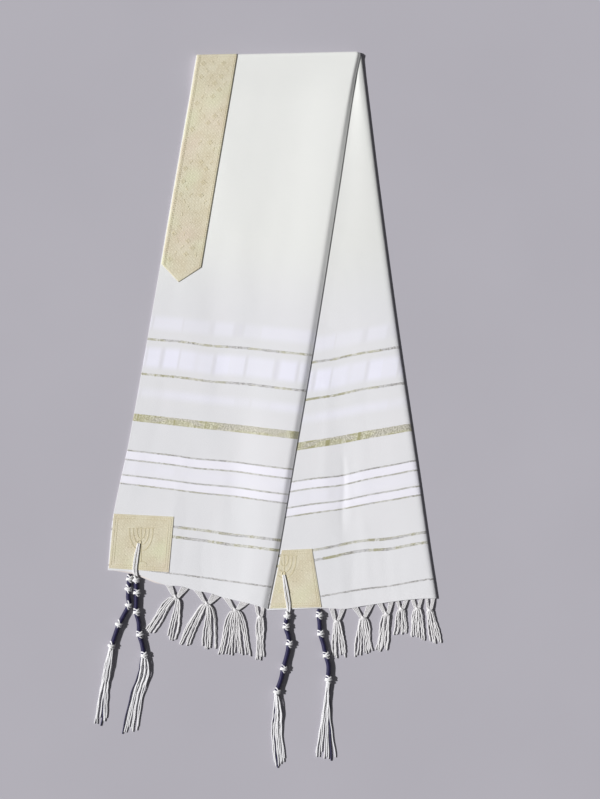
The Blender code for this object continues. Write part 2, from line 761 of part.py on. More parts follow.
front_rows = [front_section(along) for along in row_shares()]
front_rows = top_fold_rows(front_rows[0]) + front_rows
grid_object("front_leg", front_rows, materials["cloth"], CLOTH, -1.0)
back_rows = [back_section(along) for along in row_shares()[1:]]
grid_object("back_leg", back_rows, materials["cloth"], CLOTH, -1.0)
closed_layers("hidden_layers", hidden_layers(), materials["under_cloth"])
atarah(materials["brocade"])
patch("corner_patch_front", FRONT_PATCH, "front", materials["brocade"])
patch("corner_patch_back", BACK_PATCH, "back", materials["brocade"])
fringe("fringe_front", FRONT_BUNDLES, front_section(1.0), materials["white_yarn"])
fringe("fringe_back", BACK_BUNDLES, back_section(1.0), materials["white_yarn"])
for tassel_name, tassel_shape in TZITZIYOT.items():
    wound_cord(tassel_name, tassel_shape["cord"], materials["navy_thread"])
    tassel(tassel_name, tassel_shape["cord"], tassel_shape["tassel"], tassel_shape["spread"],
           materials["white_yarn"])
for loop_name, loop_points in LOOPS.items():
    loop(loop_name, loop_points, materials["white_yarn"])
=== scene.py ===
"""Looks of a folded prayer shawl: woven cloth, neckband, corner patches, fringe, tassels.

Metres, +Z up, the shawl lies on z = 0 and the camera looks straight down. The form follows
the solids, read on finer grids, but for the front leg's fold, which lies up to 6 mm further
right than theirs.
"""
import random
from math import cos, pi, radians, sin

import bmesh
import bpy
import numpy as np
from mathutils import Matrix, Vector


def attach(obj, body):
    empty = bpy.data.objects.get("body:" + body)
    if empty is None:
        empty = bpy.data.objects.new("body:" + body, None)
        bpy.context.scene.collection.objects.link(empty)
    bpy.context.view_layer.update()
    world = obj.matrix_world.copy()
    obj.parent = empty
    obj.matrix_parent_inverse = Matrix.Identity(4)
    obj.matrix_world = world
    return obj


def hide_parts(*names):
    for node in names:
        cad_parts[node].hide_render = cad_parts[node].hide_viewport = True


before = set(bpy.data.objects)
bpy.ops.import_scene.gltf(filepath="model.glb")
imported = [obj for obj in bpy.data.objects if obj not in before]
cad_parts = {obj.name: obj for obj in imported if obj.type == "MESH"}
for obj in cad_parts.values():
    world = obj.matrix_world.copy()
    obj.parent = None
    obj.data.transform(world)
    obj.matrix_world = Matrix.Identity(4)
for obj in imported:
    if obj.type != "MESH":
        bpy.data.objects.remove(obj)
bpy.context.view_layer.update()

MM = 0.001
FRONT, BACK = 0, 1
LEGS = ("front", "back")

# The cut and its layers
SHAWL_LENGTH = 1830 * MM
LEG_LENGTH = SHAWL_LENGTH / 2
CLOTH = 1.0 * MM
CAD_CLOTH = 1.2 * MM
GAP = 0.3 * MM
LAYER = 1.2 * MM

# The front leg's lengthwise fold: pressed, with a face that rolls down to it
FRONT_NOSE = 2.45 * MM
FRONT_NOSE_AT_TOP = 2.3 * MM
PRESSED_NOSE = 0.8 * MM
FRONT_RISE = 110 * MM
FRONT_ROLL = 14.2 * MM
FRONT_ROLL_AT_TOP = 8.5 * MM
ROLL_GROWTH = 0.24
ROLL_BEND = 0.63
FRONT_RETURN = 10 * MM
FRONT_RETURN_AT_HEM = 2 * MM

# The back leg's lengthwise fold and its tuck under the front leg
CAD_NOSE = 3.0 * MM
BACK_NOSE = 2.8 * MM
BACK_ROLL = 8.5 * MM
BACK_RISE = 112 * MM
BACK_SWELL_REACH = 70 * MM
BACK_RETURN = 8 * MM
TUCK = 20 * MM
TUCK_AT_HEM = 8 * MM
LOW_PART = 0.3
RETURN_SHARES = (0.35, 0.7, 1.0)

# The crosswise fold
TOP_RADIUS = 5.2 * MM
TOP_REACH = 80 * MM
TOP_RETURN = 8 * MM
BACK_START = 8 * MM
FIRST = TOP_RADIUS / LEG_LENGTH
HIDDEN_TURNS = (80, 55, 30, 0)

# Heights of the outer faces above the floor
ONE_LAYER_TOP = LAYER + GAP + CAD_CLOTH
BACK_LEG_RISE = 2.4 * MM
TOP_LIFT = 2.8 * MM
BACK_MIDDLE_RISE = 0.5 * MM
BACK_EDGE_HALF = 42 * MM
UNDER_HEM = 3 * MM
EDGE_GROOVE = 0.7 * MM
FRONT_RELIEF = 0.4
BACK_RELIEF = 0.6

# Trims and their sewing
ATARAH_EDGES = (1.5 * MM, 69 * MM)
ATARAH_SHOULDER = 370 * MM
ATARAH_TIP = 29 * MM
TRIM = 0.5 * MM
TRIM_GAP = 0.2 * MM
TRIM_TOP = TRIM_GAP + TRIM
SEAM_PLACES = (5.0, 7.6, 64.6, 67.8)
PATCH_SEAMS = (0.035, 0.075)
STITCH_PITCH = 3.3 * MM
STITCH_RADIUS = 0.33 * MM
STITCH_ARCH = (-0.15 * MM, 0.14 * MM, 0.2 * MM, 0.14 * MM, -0.15 * MM)
STITCH_START = 0.6 * MM
STITCH_JITTER = 0.2 * MM
STITCH_SHARE = 0.72
STITCH_SIDES = 5
SEAM_STEPS = 60
ORNAMENT_RADIUS = 0.42 * MM
ORNAMENT_SINK = 0.1 * MM
LAMP_LINE_HALF = 0.55
EYELET_RADIUS = 3.0 * MM
EYELET_THREAD = 0.65 * MM
EYELET_LIFT = 0.25 * MM

# Flowers and sprigs strewn down the neckband: first row, last row and pitch of the rows,
# then the columns in mm, the share of places left empty, and the sizes
FLOWER_ROWS = (16 * MM, 362 * MM, 11.5 * MM)
FLOWER_COLUMN = 17
FLOWER_SHIFT = 4
FLOWER_GAPS = 0.45
LEAF_START = 0.8 * MM
LEAF_LENGTH = 3.2 * MM
SPRIG_HALF = 3.6 * MM
SPRIG_BEND = 2.5 * MM

# Fringe and corner tassels
FLOOR_CLEAR = 0.35 * MM
STRAND_RADIUS = 0.95 * MM
FRINGE_STRAND = 1.25 * MM
FRINGE_KNOT_MIDDLE = FLOOR_CLEAR + 2.5 * MM
FRINGE_KNOT_WIDTH = 4.2 * MM
FRINGE_KNOT_WRAPS = (5.6 * MM, 4.4 * MM, 3.0 * MM)
CORD_KNOT_WRAPS = (6.7 * MM, 4.6 * MM, 5.2 * MM)
CORD_RADIUS = 4.0 * MM
CORD_KNOT = 4.9 * MM
CORD_NECK = 2.0 * MM
CORD_STOPS = 260
CORD_SIDES = 14
WINDING_PITCH = 1.5 * MM
TASSEL_STRANDS = 9
TASSEL_HEAD = 4.4 * MM
TASSEL_STEPS = 60
TASSEL_LAYER_TOP = 2.0 * MM
TASSEL_LAYER_END = 1.1 * MM
LOOP_STRAND = 0.75 * MM
STRING_KINK = 0.1 * MM
LOOP_KINK = 0.15 * MM
THREAD_KINK = 0.35 * MM
STRING_SIDES = 6
THREAD_SIDES = 7
WRAP_STEPS = 19
WRAP_SWAY = 0.5 * MM
KNOT_CORE_INSET = 0.7 * MM
CORD_WRAP = 1.45 * MM
CORD_KNOT_ASIDE = 0.7 * MM
WINDING_SINK = 0.55 * MM
WINDING_DEPTH = 0.6 * MM
WINDING_SHAPE = 0.6

# Grids: rows and columns, denser near the crosswise fold and next to cut edges
CLOTH_ROWS = 300
DENSE_ROWS = 22
DENSE_END = 0.06
FRONT_COLUMNS = 92
ROLL_COLUMNS = 16
BACK_COLUMNS = 70
FOLD_STEPS = 10
EDGE_ROW = 0.9995
EDGE_COLUMN = 0.0016
PATCH_EDGE = 0.004
PATCH_STEPS = 47
BAND_COLUMNS = 33
BAND_TURNS = 14
BAND_ROWS = 150
HIDDEN_TOP_ROWS = 8
HIDDEN_LEG_ROWS = 90
HIDDEN_COLUMNS = (46, 36)
HEM_STEPS = 200
HALVINGS = 30

# Points down the side of the stacked layers: share of the height, share of the groove
SIDE_PROFILE = ((0.9, 0.0), (0.56, 0.0), (0.5, 1.0), (0.44, 0.0), (0.1, 0.0))

# Outline in mm: share of the leg's length, then x and y of the front leg's selvedge,
# of its lengthwise fold and of the back leg's lengthwise fold
OUTLINE = (
    (0.00, -117.9, 592.2, 156.7, 598.6, 156.7, 598.6),
    (0.06, -127.0, 540.6, 145.6, 543.4, 163.5, 543.5),
    (0.25, -155.7, 377.1, 118.8, 365.6, 184.9, 369.1),
    (0.50, -192.6, 161.8, 82.0, 131.5, 215.7, 139.8),
    (0.75, -231.3, -53.2, 42.1, -102.3, 249.7, -88.9),
    (0.90, -258.1, -181.3, 18.4, -242.7, 269.5, -226.2),
    (1.00, -266.3, -267.5, 0.6, -336.1, 283.2, -319.0),
)

# The back leg's hidden selvedge in mm: x and y at the top, x and y at the hem
HIDDEN_SELVEDGE = (-117.9, 593.6, 1.2, -331.0)

# How far each leg's hem is drawn up from a straight line, in mm, by share of the width
HEMS = (
    ((0.00, 0.0), (0.15, 6.5), (0.36, 0.0), (0.46, 4.5), (0.55, 3.5),
     (0.64, 5.5), (0.72, 4.0), (0.90, 5.5), (1.00, 4.0)),
    ((0.00, 1.5), (0.33, -0.5), (0.46, -4.0), (0.56, -1.0), (0.68, 2.0),
     (0.82, 5.0), (0.92, 5.5), (1.00, 4.5)),
)
HEM_REACH = 0.10

# Soft undulations in mm: centre x, y, half width across, half length along, height
SWELLS = (
    (-130, 200, 34, 150, 0.7), (-20, 60, 30, 170, -0.5), (-90, -60, 36, 120, 0.6),
    (-150, -200, 40, 70, 0.5), (-60, -250, 34, 80, 0.7), (127, -150, 18, 90, -0.9),
    (175, -90, 34, 150, 0.8), (210, -260, 28, 70, 0.7), (90, -290, 30, 60, 0.6),
)

# Soft creases in mm: start x, y, end x, y, half width and height, a trough below 0
CREASES = (
    (-136, -60, -168, -250, 9, 0.55), (-128, -150, -148, -268, 7, -0.5),
    (-60, -40, -84, -262, 11, 0.5), (-104, -205, -112, -292, 6, -0.45),
    (-30, -190, -48, -318, 8, -0.55), (-20, -230, -34, -330, 6, 0.45),
    (-75, -265, -92, -300, 5, 0.4), (-60, 120, -96, -20, 14, -0.5),
    (20, 330, -6, 60, 15, 0.5), (60, 480, 40, 260, 13, -0.35),
    (-70, 420, -110, 160, 16, 0.45), (-20, 560, -46, 380, 12, 0.3),
    (-170, 60, -196, -90, 9, -0.45), (-215, -40, -232, -160, 7, 0.4),
    (20, 20, 2, -150, 8, -0.45), (-140, 330, -160, 160, 10, -0.35),
    (126, -82, 128, -196, 3.2, -0.85), (136, -78, 137, -190, 5, 0.45),
    (166, 60, 172, -90, 10, -0.5), (200, 40, 214, -120, 9, 0.5),
    (158, -180, 172, -300, 8, 0.5), (190, -200, 208, -318, 7, -0.5),
    (232, -150, 246, -300, 7, 0.45), (118, -205, 124, -330, 8, 0.4),
    (140, -240, 148, -335, 5, -0.4), (150, 260, 156, 90, 9, 0.35),
    (100, 60, 96, -120, 9, 0.4), (222, -236, 230, -322, 4.5, -0.45),
)

# Slow waves in mm: direction in degrees, wave length, phase, height
RIPPLES = (
    (8, 74, 0.4, 0.10), (-14, 53, 2.1, 0.08), (62, 120, 1.2, 0.10), (101, 88, 4.4, 0.07),
    (34, 41, 5.2, 0.05),
)

# Where the weave strays from straight, in mm: x, y, half width, half length, drop
WEAVE_WAVES = (
    (122, -120, 34, 60, 3.4), (150, -236, 38, 50, -3.2), (205, -250, 26, 60, 2.0),
    (-150, 92, 20, 40, -1.3), (-95, 82, 24, 60, 1.5), (-30, 60, 30, 70, -1.0),
    (-120, -90, 26, 50, 1.3), (-50, -120, 30, 60, -1.1), (160, 40, 26, 60, -1.4),
    (-60, -210, 24, 40, 1.2), (110, 60, 20, 60, 1.2), (240, -90, 20, 60, -1.2),
)

# Where each leg's weave runs: millimetres from the crosswise fold, as a sum of these
# shares of 1, x, y, x*y and y*y, with x and y in units of 100 mm
WEAVES = ((595.61, -10.832, -99.439, 0.882, -0.019), (562.76, 17.069, -99.224, 0.388, 0.257))

# For each leg in mm: its corner patch's corners top left, top right, bottom right and
# bottom left, the embroidered lamp's middle, the eyelet, and the way of the white strands
# from the eyelet to the wound cord
PATCHES = (
    ((-256.2, -173.1), (-156.0, -178.1), (-164.4, -270.9), (-264.6, -264.2)),
    ((24.4, -234.1), (74.7, -231.6), (90.8, -329.4), (4.2, -331.5)),
)
LAMPS = ((-210.5, -226.0), (28.5, -272.0))
EYELETS = ((-214.0, -221.0), (27.4, -273.0))
LOOPS = (
    ((-214.5, -222.4), (-219.5, -250.0), (-221.0, -268.0), (-217.7, -283.6)),
    ((27.4, -275.2), (32.0, -304.0), (35.6, -328.0), (34.0, -343.6)),
)

# Each leg's fringe bundles in mm: knot x, y, root from x to x, strand ends left x, y and
# right x, y, strands, how wide they part and where, from left to right
BUNDLES = (
    (
        (-153.2, -313.8, -170, -131, -205.3, -369.5, -153.2, -384.9, 12, 6.0, 0.62),
        (-100.8, -324.4, -123, -78, -150.2, -391.2, -85.8, -401.9, 13, 5.0, 0.45),
        (-53.2, -334.7, -75, -30, -82.4, -406.3, -28.3, -411.3, 13, 1.0, 0.75),
        (-12.0, -346.0, -21, -5, -18.5, -416.3, -5.5, -416.3, 6, 0.0, 0.5),
    ),
    (
        (115.9, -353.3, 104, 130, 108.5, -414.7, 132.2, -411.3, 8, 3.5, 0.5),
        (160.3, -347.8, 142, 178, 146.6, -411.3, 175.6, -404.6, 9, 1.5, 0.35),
        (199.1, -341.4, 184, 211, 181.1, -403.8, 200.6, -402.3, 8, 2.5, 0.6),
        (224.2, -333.0, 215, 236, 210.7, -377.9, 232.4, -374.0, 7, 1.0, 0.4),
        (250.5, -332.4, 240, 260, 240.2, -378.2, 262.5, -383.6, 8, 1.5, 0.6),
        (271.4, -334.4, 265, 280, 272.7, -387.9, 291.0, -389.6, 7, 1.0, 0.5),
    ),
)

# Corner tassels in mm: centre line of the wound cord with 1 at a knot and -1 at a thin
# neck, the tassel's middle line below the cord, half its width along the way, and which
# of its threads is dark
TZITZIYOT = {
    "tzitzit_left": (
        ((-230.3, -274.0, -1), (-230.2, -281.5, 1), (-231.5, -298.5, 1), (-232.0, -312.0, 0),
         (-231.0, -325.4, 1), (-239.0, -341.8, 0), (-247.3, -357.8, 1), (-254.6, -377.9, 0),
         (-259.7, -393.6, 1)),
        ((-268.0, -440.0), (-274.0, -475.0), (-279.5, -527.9)), (2.4, 6.5, 5.5, 7.0, 9.5), 4),
    "tzitzit_front": (
        ((-218.8, -284.0, 1), (-218.4, -304.3, 1), (-218.6, -321.0, 0), (-218.8, -336.9, 1),
         (-214.5, -355.1, 0), (-213.5, -374.5, 1), (-208.8, -391.2, 0), (-206.0, -409.0, 1)),
        ((-206.5, -440.0), (-219.0, -480.0), (-230.5, -543.5)), (3.4, 10.5, 9.5, 8.0, 12.0), 0),
    "tzitzit_back": (
        ((33.8, -344.0, 1), (30.8, -361.2, 1), (35.5, -377.4, 0), (36.3, -389.6, 1),
         (33.4, -407.3, 0), (26.9, -431.4, 1), (23.2, -449.0, 0), (15.7, -470.0, 1)),
        ((17.5, -505.0), (17.1, -541.7), (23.0, -597.6)), (2.2, 4.5, 6.5, 8.0, 10.0), 2),
    "tzitzit_right": (
        ((85.8, -332.0, -1), (86.2, -342.5, 1), (87.6, -357.0, 0), (88.6, -372.9, 1),
         (94.0, -391.3, 0), (97.8, -409.1, 1), (102.5, -427.7, 0), (101.5, -449.1, 1)),
        ((100.3, -483.0), (98.5, -530.0), (97.3, -586.0)), (2.0, 2.8, 6.5, 11.5, 18.0), 7),
}

# Woven stripes in mm: distance from the crosswise fold, width, and the strengths of
# metal thread, of white satin and of grey in the metal
STRIPES = (
    (497.0, 3.9, 0.85, 0.0, 0.15), (557.0, 3.9, 0.85, 0.0, 0.15), (632.0, 12.8, 1.0, 0.0, 0.0),
    (689.0, 2.6, 0.85, 0.0, 0.8), (697.0, 12.8, 0.0, 1.0, 0.0), (705.0, 2.6, 0.8, 0.0, 0.7),
    (718.2, 23.3, 0.0, 0.5, 0.0), (731.5, 2.6, 0.8, 0.0, 0.8), (739.0, 11.8, 0.0, 0.9, 0.0),
    (746.5, 2.6, 0.85, 0.0, 0.5), (809.0, 4.6, 0.9, 0.0, 0.25), (826.0, 4.6, 0.9, 0.0, 0.1),
    (888.0, 2.9, 0.85, 0.0, 1.0),
)

# Bands of satin blocks in mm: distance from the crosswise fold, half width, strength
# and the usual width of a block
BLOCK_BANDS = (
    (468.0, 11.0, 0.6, 44.0), (527.5, 16.5, 1.0, 27.0), (588.0, 7.0, 0.6, 36.0),
    (718.0, 8.0, 0.25, 40.0),
)

# Camera and light
VIEW_CENTRE = (54.7 * MM, 17.6 * MM)
VIEW_HEIGHT = 1336 * MM
LENS = 85.0
SENSOR = 36.0
SUN_AZIMUTH = 172.0
SUN_ELEVATION = 38.0
SUN_STRENGTH = 4.5
SUN_SOFTNESS = 3.0
SKY_COLOUR = (0.95, 0.97, 1.0, 1.0)
SKY_STRENGTH = 0.12


def lerp(start, end, share):
    return start + (end - start) * share


def smooth(share):
    share = np.clip(share, 0.0, 1.0)
    return share * share * (3 - 2 * share)


def unit(vector):
    return vector / np.linalg.norm(vector, axis=-1, keepdims=True)


def left_of(ahead):
    """Plan directions a quarter turn to the left."""
    return np.stack([-ahead[..., 1], ahead[..., 0]], -1)


def points3(plan, height):
    return np.concatenate([plan, height[..., None]], -1)


def arc_length(points, axis=0):
    """Distance run at each point of a path, or along each row of a grid with axis 1."""
    steps = np.linalg.norm(np.diff(points, axis=axis), axis=-1)
    start = np.zeros_like(np.take(steps, [0], axis))
    return np.concatenate([start, np.cumsum(steps, axis)], axis)


def resampled(path, at):
    """Points of a path at distances along it."""
    length = arc_length(path)
    return np.stack([np.interp(at, length, path[:, axis]) for axis in range(3)], -1)


def cubic_read(table, column, key):
    """Reads one column of a table on a smooth curve through its rows."""
    keys = np.array([row[0] for row in table], dtype=float)
    values = np.array([row[column] for row in table], dtype=float)
    last = len(keys) - 1
    index = np.clip(np.searchsorted(keys, key, side="left") - 1, 0, last - 1)
    before, beyond = np.maximum(index - 1, 0), np.minimum(index + 2, last)
    after = index + 1
    span = keys[after] - keys[index]
    slope_here = (values[after] - values[before]) / (keys[after] - keys[before])
    slope_after = (values[beyond] - values[index]) / (keys[beyond] - keys[index])
    f = (key - keys[index]) / span
    return ((2 * f**3 - 3 * f**2 + 1) * values[index] + (f**3 - 2 * f**2 + f) * span * slope_here
            + (3 * f**2 - 2 * f**3) * values[after] + (f**3 - f**2) * span * slope_after)


def curve_points(points, steps):
    """Points on a smooth curve through the given ones."""
    table = [(float(index), *point) for index, point in enumerate(points)]
    keys = np.linspace(0, len(points) - 1, steps + 1)
    return np.stack([cubic_read(table, c + 1, keys) for c in range(len(points[0]))], -1)


def outline_point(edge, along):
    """Points in plan on the selvedge (0), the front fold (1) or the back fold (2)."""
    x = cubic_read(OUTLINE, 1 + 2 * edge, along)
    y = cubic_read(OUTLINE, 2 + 2 * edge, along)
    return np.stack([x, y], -1) * MM


def leg_span(leg, along):
    return outline_point(leg + 1, along) - outline_point(leg, along)


def leg_width(leg, along):
    return np.linalg.norm(leg_span(leg, along), axis=-1)


def leg_plan(leg, along, across):
    """Plan points on a leg, with across = 1 at its own fold. It is 0 at the front leg's
    selvedge, and on the back leg at the front leg's fold."""
    point = outline_point(leg, along) + leg_span(leg, along) * np.asarray(across)[..., None]
    lift = cubic_read(HEMS[leg], 1, np.clip(across, 0.0, 1.0)) * MM
    point[..., 1] += lift * smooth((along - 1 + HEM_REACH) / HEM_REACH)
    return point


def near_top(along):
    """1 at the crosswise fold, 0 further down than TOP_REACH."""
    return smooth(1 - (along * LEG_LENGTH - TOP_RADIUS) / TOP_REACH)


def near_hem(along):
    return smooth((along - 1 + LOW_PART) / LOW_PART)


def tuck(along):
    return lerp(TUCK, TUCK_AT_HEM, near_hem(along))


def bumps(table, point):
    """Sum of soft round bumps at plan points, in mm."""
    total = 0.0
    for x, y, half_width, half_length, height in table:
        across = (point[..., 0] / MM - x) / half_width
        along = (point[..., 1] / MM - y) / half_length
        total = total + height * np.exp(-across**2 - along**2)
    return total


def relief(point):
    """Height of the creases and slow waves at plan points."""
    x, y = point[..., 0] / MM, point[..., 1] / MM
    total = np.zeros(x.shape)
    for start_x, start_y, end_x, end_y, half, height in CREASES:
        run = np.hypot(end_x - start_x, end_y - start_y)
        ahead = ((x - start_x) * (end_x - start_x) + (y - start_y) * (end_y - start_y)) / run**2
        aside = ((x - start_x) * (end_y - start_y) - (y - start_y) * (end_x - start_x)) / run
        aside = aside + 2.5 * np.sin(5.0 * ahead + start_x)
        fade = smooth(ahead * 3 + 0.5) * smooth((1 - ahead) * 3 + 0.5)
        total += height * fade * np.exp(-(aside / half) ** 2)
    for degrees, length, phase, height in RIPPLES:
        turn = radians(degrees)
        wave = np.sin(2 * pi * (x * cos(turn) + y * sin(turn)) / length + phase)
        total += height * wave * np.sin(x / 61 + phase)
    return total * MM


def over_back_leg(point):
    """0 left of the back leg's hidden selvedge, 1 right of it."""
    top_x, top_y, hem_x, hem_y = [value * MM for value in HIDDEN_SELVEDGE]
    edge_x = lerp(top_x, hem_x, (top_y - point[..., 1]) / (top_y - hem_y))
    return smooth((point[..., 0] - edge_x + BACK_EDGE_HALF) / (2 * BACK_EDGE_HALF))


def back_level(along):
    """Outer height of the back leg where the front leg's fold rests on it."""
    return ONE_LAYER_TOP + TOP_LIFT * near_top(along)


def front_nose(along):
    return lerp(FRONT_NOSE, FRONT_NOSE_AT_TOP, near_top(along))


def front_roll(along):
    return lerp(FRONT_ROLL_AT_TOP, FRONT_ROLL, smooth(along / ROLL_GROWTH))


def fold_drop(along, from_fold):
    """How far the front leg's face has sunk on its way to its pressed fold."""
    roll = front_roll(along)
    share = np.clip((roll - from_fold) / (roll - PRESSED_NOSE), 0.0, 1.0)
    bent = np.where(share < ROLL_BEND, share**3 / (3 * ROLL_BEND**2), share - ROLL_BEND / 1.5)
    return 2 * (front_nose(along) - PRESSED_NOSE) * bent / (1 - ROLL_BEND / 1.5)


def front_height(along, across):
    """Outer height of the front leg."""
    point, width = leg_plan(FRONT, along, across), leg_width(FRONT, along)
    from_selvedge, from_fold = width * across, width * (1 - across)
    creased = smooth((from_fold - FRONT_ROLL) / (22 * MM)) * smooth(from_selvedge / (30 * MM))
    flat = ONE_LAYER_TOP + BACK_LEG_RISE * over_back_leg(point)
    flat = flat + bumps(SWELLS, point) * MM * smooth(from_fold / FRONT_RISE)
    flat = flat + FRONT_RELIEF * relief(point) * creased
    nose_top = back_level(along) + GAP + 2 * front_nose(along)
    from_roll = np.maximum(from_fold - FRONT_ROLL, 0.0)
    height = lerp(flat, nose_top, smooth(1 - from_roll / FRONT_RISE) ** 1.5)
    return lerp(height, 2 * TOP_RADIUS, near_top(along)) - fold_drop(along, from_fold)


def back_height(along, across):
    """Outer height of the back leg right of the front leg's fold."""
    point, width = leg_plan(BACK, along, across), leg_width(BACK, along)
    from_front, from_fold = width * across, width * (1 - across)
    rise = np.maximum(np.minimum(BACK_RISE, width - BACK_ROLL), 1 * MM)
    away = smooth(from_front / BACK_SWELL_REACH)
    creased = smooth((from_front - 4 * MM) / (12 * MM))
    creased = creased * smooth((from_fold - BACK_ROLL) / (16 * MM))
    flat = back_level(along) + BACK_MIDDLE_RISE * away
    flat = flat + bumps(SWELLS, point) * MM * away * smooth(from_fold / rise)
    flat = flat + BACK_RELIEF * relief(point) * creased
    from_roll = np.maximum(from_fold - BACK_ROLL, 0.0)
    return lerp(flat, 2 * BACK_NOSE, smooth(1 - from_roll / rise))


def back_place(along, way):
    """Plan points and outer heights of the back leg, a way right of its tucked edge."""
    tucked = tuck(along)
    under = way < tucked
    inside = 1 - (tucked - way) / leg_width(FRONT, along)
    across = np.clip((way - tucked) / np.maximum(leg_width(BACK, along), 1 * MM), 0.0, 1.0)
    plan = np.where(under[..., None], leg_plan(FRONT, along, inside), leg_plan(BACK, along, across))
    return plan, np.where(under, back_level(along), back_height(along, across))


def leg_rows():
    near = np.linspace(FIRST, DENSE_END, DENSE_ROWS)
    return np.concatenate([near, np.linspace(DENSE_END, 1.0, CLOTH_ROWS)[1:-1], [EDGE_ROW, 1.0]])


def with_fold(flat, leg, along, roll, radius, returned):
    """Adds the columns of a rounded fold: its half ellipse, then its flat return."""
    outwards = unit(leg_span(leg, along))
    centre = leg_plan(leg, along, np.ones_like(along)) - outwards * roll[:, None]
    top = np.maximum(flat[:, -1, 2], 2 * radius) if leg == FRONT else np.full_like(along, 2 * radius)
    columns = []
    for step in range(1, FOLD_STEPS + 1):
        angle = pi * step / FOLD_STEPS
        plan = centre + outwards * (roll * sin(angle))[:, None]
        columns.append(points3(plan, top - radius + radius * cos(angle)))
    for share in RETURN_SHARES:
        plan = centre - outwards * (returned * share)[:, None]
        columns.append(points3(plan, top - 2 * radius))
    return np.concatenate([flat, np.stack(columns, 1)], 1)


def cut_of(points, leg, flat_columns):
    """Where the points of a leg lie in the flat cut, in metres: across and along."""
    x, y = points[..., 0] * 10, points[..., 1] * 10
    terms = (1.0, x, y, x * y, y * y)
    along = sum(share * term for share, term in zip(WEAVES[leg], terms))
    along = along - bumps(WEAVE_WAVES, points)
    along[:, flat_columns:] = along[:, flat_columns - 1:flat_columns]
    return np.stack([arc_length(points, 1), along * MM], -1)


def turned(points, angle):
    """Points turned about the crosswise fold's inner axis."""
    radius = points[..., 2] - TOP_RADIUS
    y = points[..., 1] + radius * sin(angle)
    return np.stack([points[..., 0], y, TOP_RADIUS + radius * cos(angle)], -1)


def front_sheet():
    """Rows of points of the front leg's outer face and where they lie in the cut."""
    along = leg_rows()
    width, roll = leg_width(FRONT, along)[:, None], front_roll(along)[:, None]
    even = np.linspace(0.0, 1.0, FRONT_COLUMNS - ROLL_COLUMNS - 1)
    even = np.insert(even, 1, EDGE_COLUMN) * (width - roll)
    late = np.linspace(0.0, 1.0, ROLL_COLUMNS + 1)[1:] * (roll - PRESSED_NOSE)
    across = np.concatenate([even, width - roll + late], 1) / width
    rows = np.repeat(along[:, None], FRONT_COLUMNS, 1)
    flat = points3(leg_plan(FRONT, rows, across), front_height(rows, across))
    nose = np.full_like(along, PRESSED_NOSE)
    returned = lerp(FRONT_RETURN, FRONT_RETURN_AT_HEM, near_hem(along))
    points = with_fold(flat, FRONT, along, nose, PRESSED_NOSE, returned)
    cut = cut_of(points, FRONT, FRONT_COLUMNS)
    angles = [pi * step / (FOLD_STEPS + 2) for step in range(FOLD_STEPS + 2, 0, -1)]
    above = [turned(points[0], angle) for angle in angles]
    above_cut = [cut[0] - np.array([0.0, TOP_RADIUS * angle]) for angle in angles]
    below = above[0] - np.array([0.0, TOP_RETURN, 0.0])
    below_cut = above_cut[0] - np.array([0.0, TOP_RETURN])
    rows = np.concatenate([[below], above, points])
    return rows, np.concatenate([[below_cut], above_cut, cut])


def back_sheet():
    """Rows of points of the back leg's outer face and where they lie in the cut."""
    along = leg_rows()
    along = np.concatenate([[BACK_START / LEG_LENGTH], along[along * LEG_LENGTH >= BACK_START]])
    rows, share = np.meshgrid(along, np.linspace(0.0, 1.0, BACK_COLUMNS), indexing="ij")
    width = leg_width(BACK, along)
    roll = np.minimum(BACK_ROLL, 0.45 * width + 1.5 * MM)
    plan, height = back_place(rows, share * (tuck(along) + width - roll)[:, None])
    returned = np.maximum(BACK_RETURN - roll + BACK_NOSE, 2 * MM)
    points = with_fold(points3(plan, height), BACK, along, roll, BACK_NOSE, returned)
    return points, cut_of(points, BACK, BACK_COLUMNS)


def hidden_rows():
    """Tops and bottoms of the hidden layers, row by row."""
    inset = CAD_CLOTH + GAP
    end = FIRST + TOP_RETURN / LEG_LENGTH
    along = np.concatenate([
        [FIRST] * len(HIDDEN_TURNS), [end + 4 * GAP / LEG_LENGTH, end + 6 * GAP / LEG_LENGTH],
        np.linspace(0.022, DENSE_END, HIDDEN_TOP_ROWS),
        np.linspace(DENSE_END, 1.0, HIDDEN_LEG_ROWS)[1:]])
    rows, shares = np.meshgrid(along, np.linspace(0.0, 1.0, HIDDEN_COLUMNS[0]), indexing="ij")
    width = leg_width(FRONT, rows)
    across = lerp(0.6 * MM / width, 1 - 0.6 * tuck(rows) / width, shares)
    plan = leg_plan(FRONT, rows, across)
    peek = smooth(across / 0.15) * smooth((0.38 - across) / 0.10)
    plan[..., 1] -= UNDER_HEM * smooth((rows - 0.97) / 0.03) * peek
    left = points3(plan, front_height(rows, across) - inset)
    rows, shares = np.meshgrid(along, np.linspace(0.0, 1.0, HIDDEN_COLUMNS[1]), indexing="ij")
    reach = tuck(rows) + leg_width(BACK, rows) - CAD_NOSE - BACK_RETURN - 0.5 * MM
    plan, height = back_place(rows, shares * reach)
    near = 1 - (tuck(rows) - GAP * 7 * shares) / leg_width(FRONT, rows)
    early = rows * LEG_LENGTH < BACK_START - GAP
    plan = np.where(early[..., None], leg_plan(FRONT, rows, near), plan)
    height = np.where(early, back_level(rows), height)
    tops = np.concatenate([left, points3(plan, height - inset)], 1)
    bottoms = tops.copy()
    bottoms[..., 2] = 0.0
    bottoms[:len(HIDDEN_TURNS) + 1, :, 2] = inset
    for row, degrees in enumerate(HIDDEN_TURNS):
        tops[row] = turned(tops[row], radians(degrees))
        bottoms[row, :, :2] = tops[row, :, :2]
        bottoms[row, :, 2] = lerp(TOP_RADIUS, inset, cos(radians(degrees)))
    return tops, bottoms


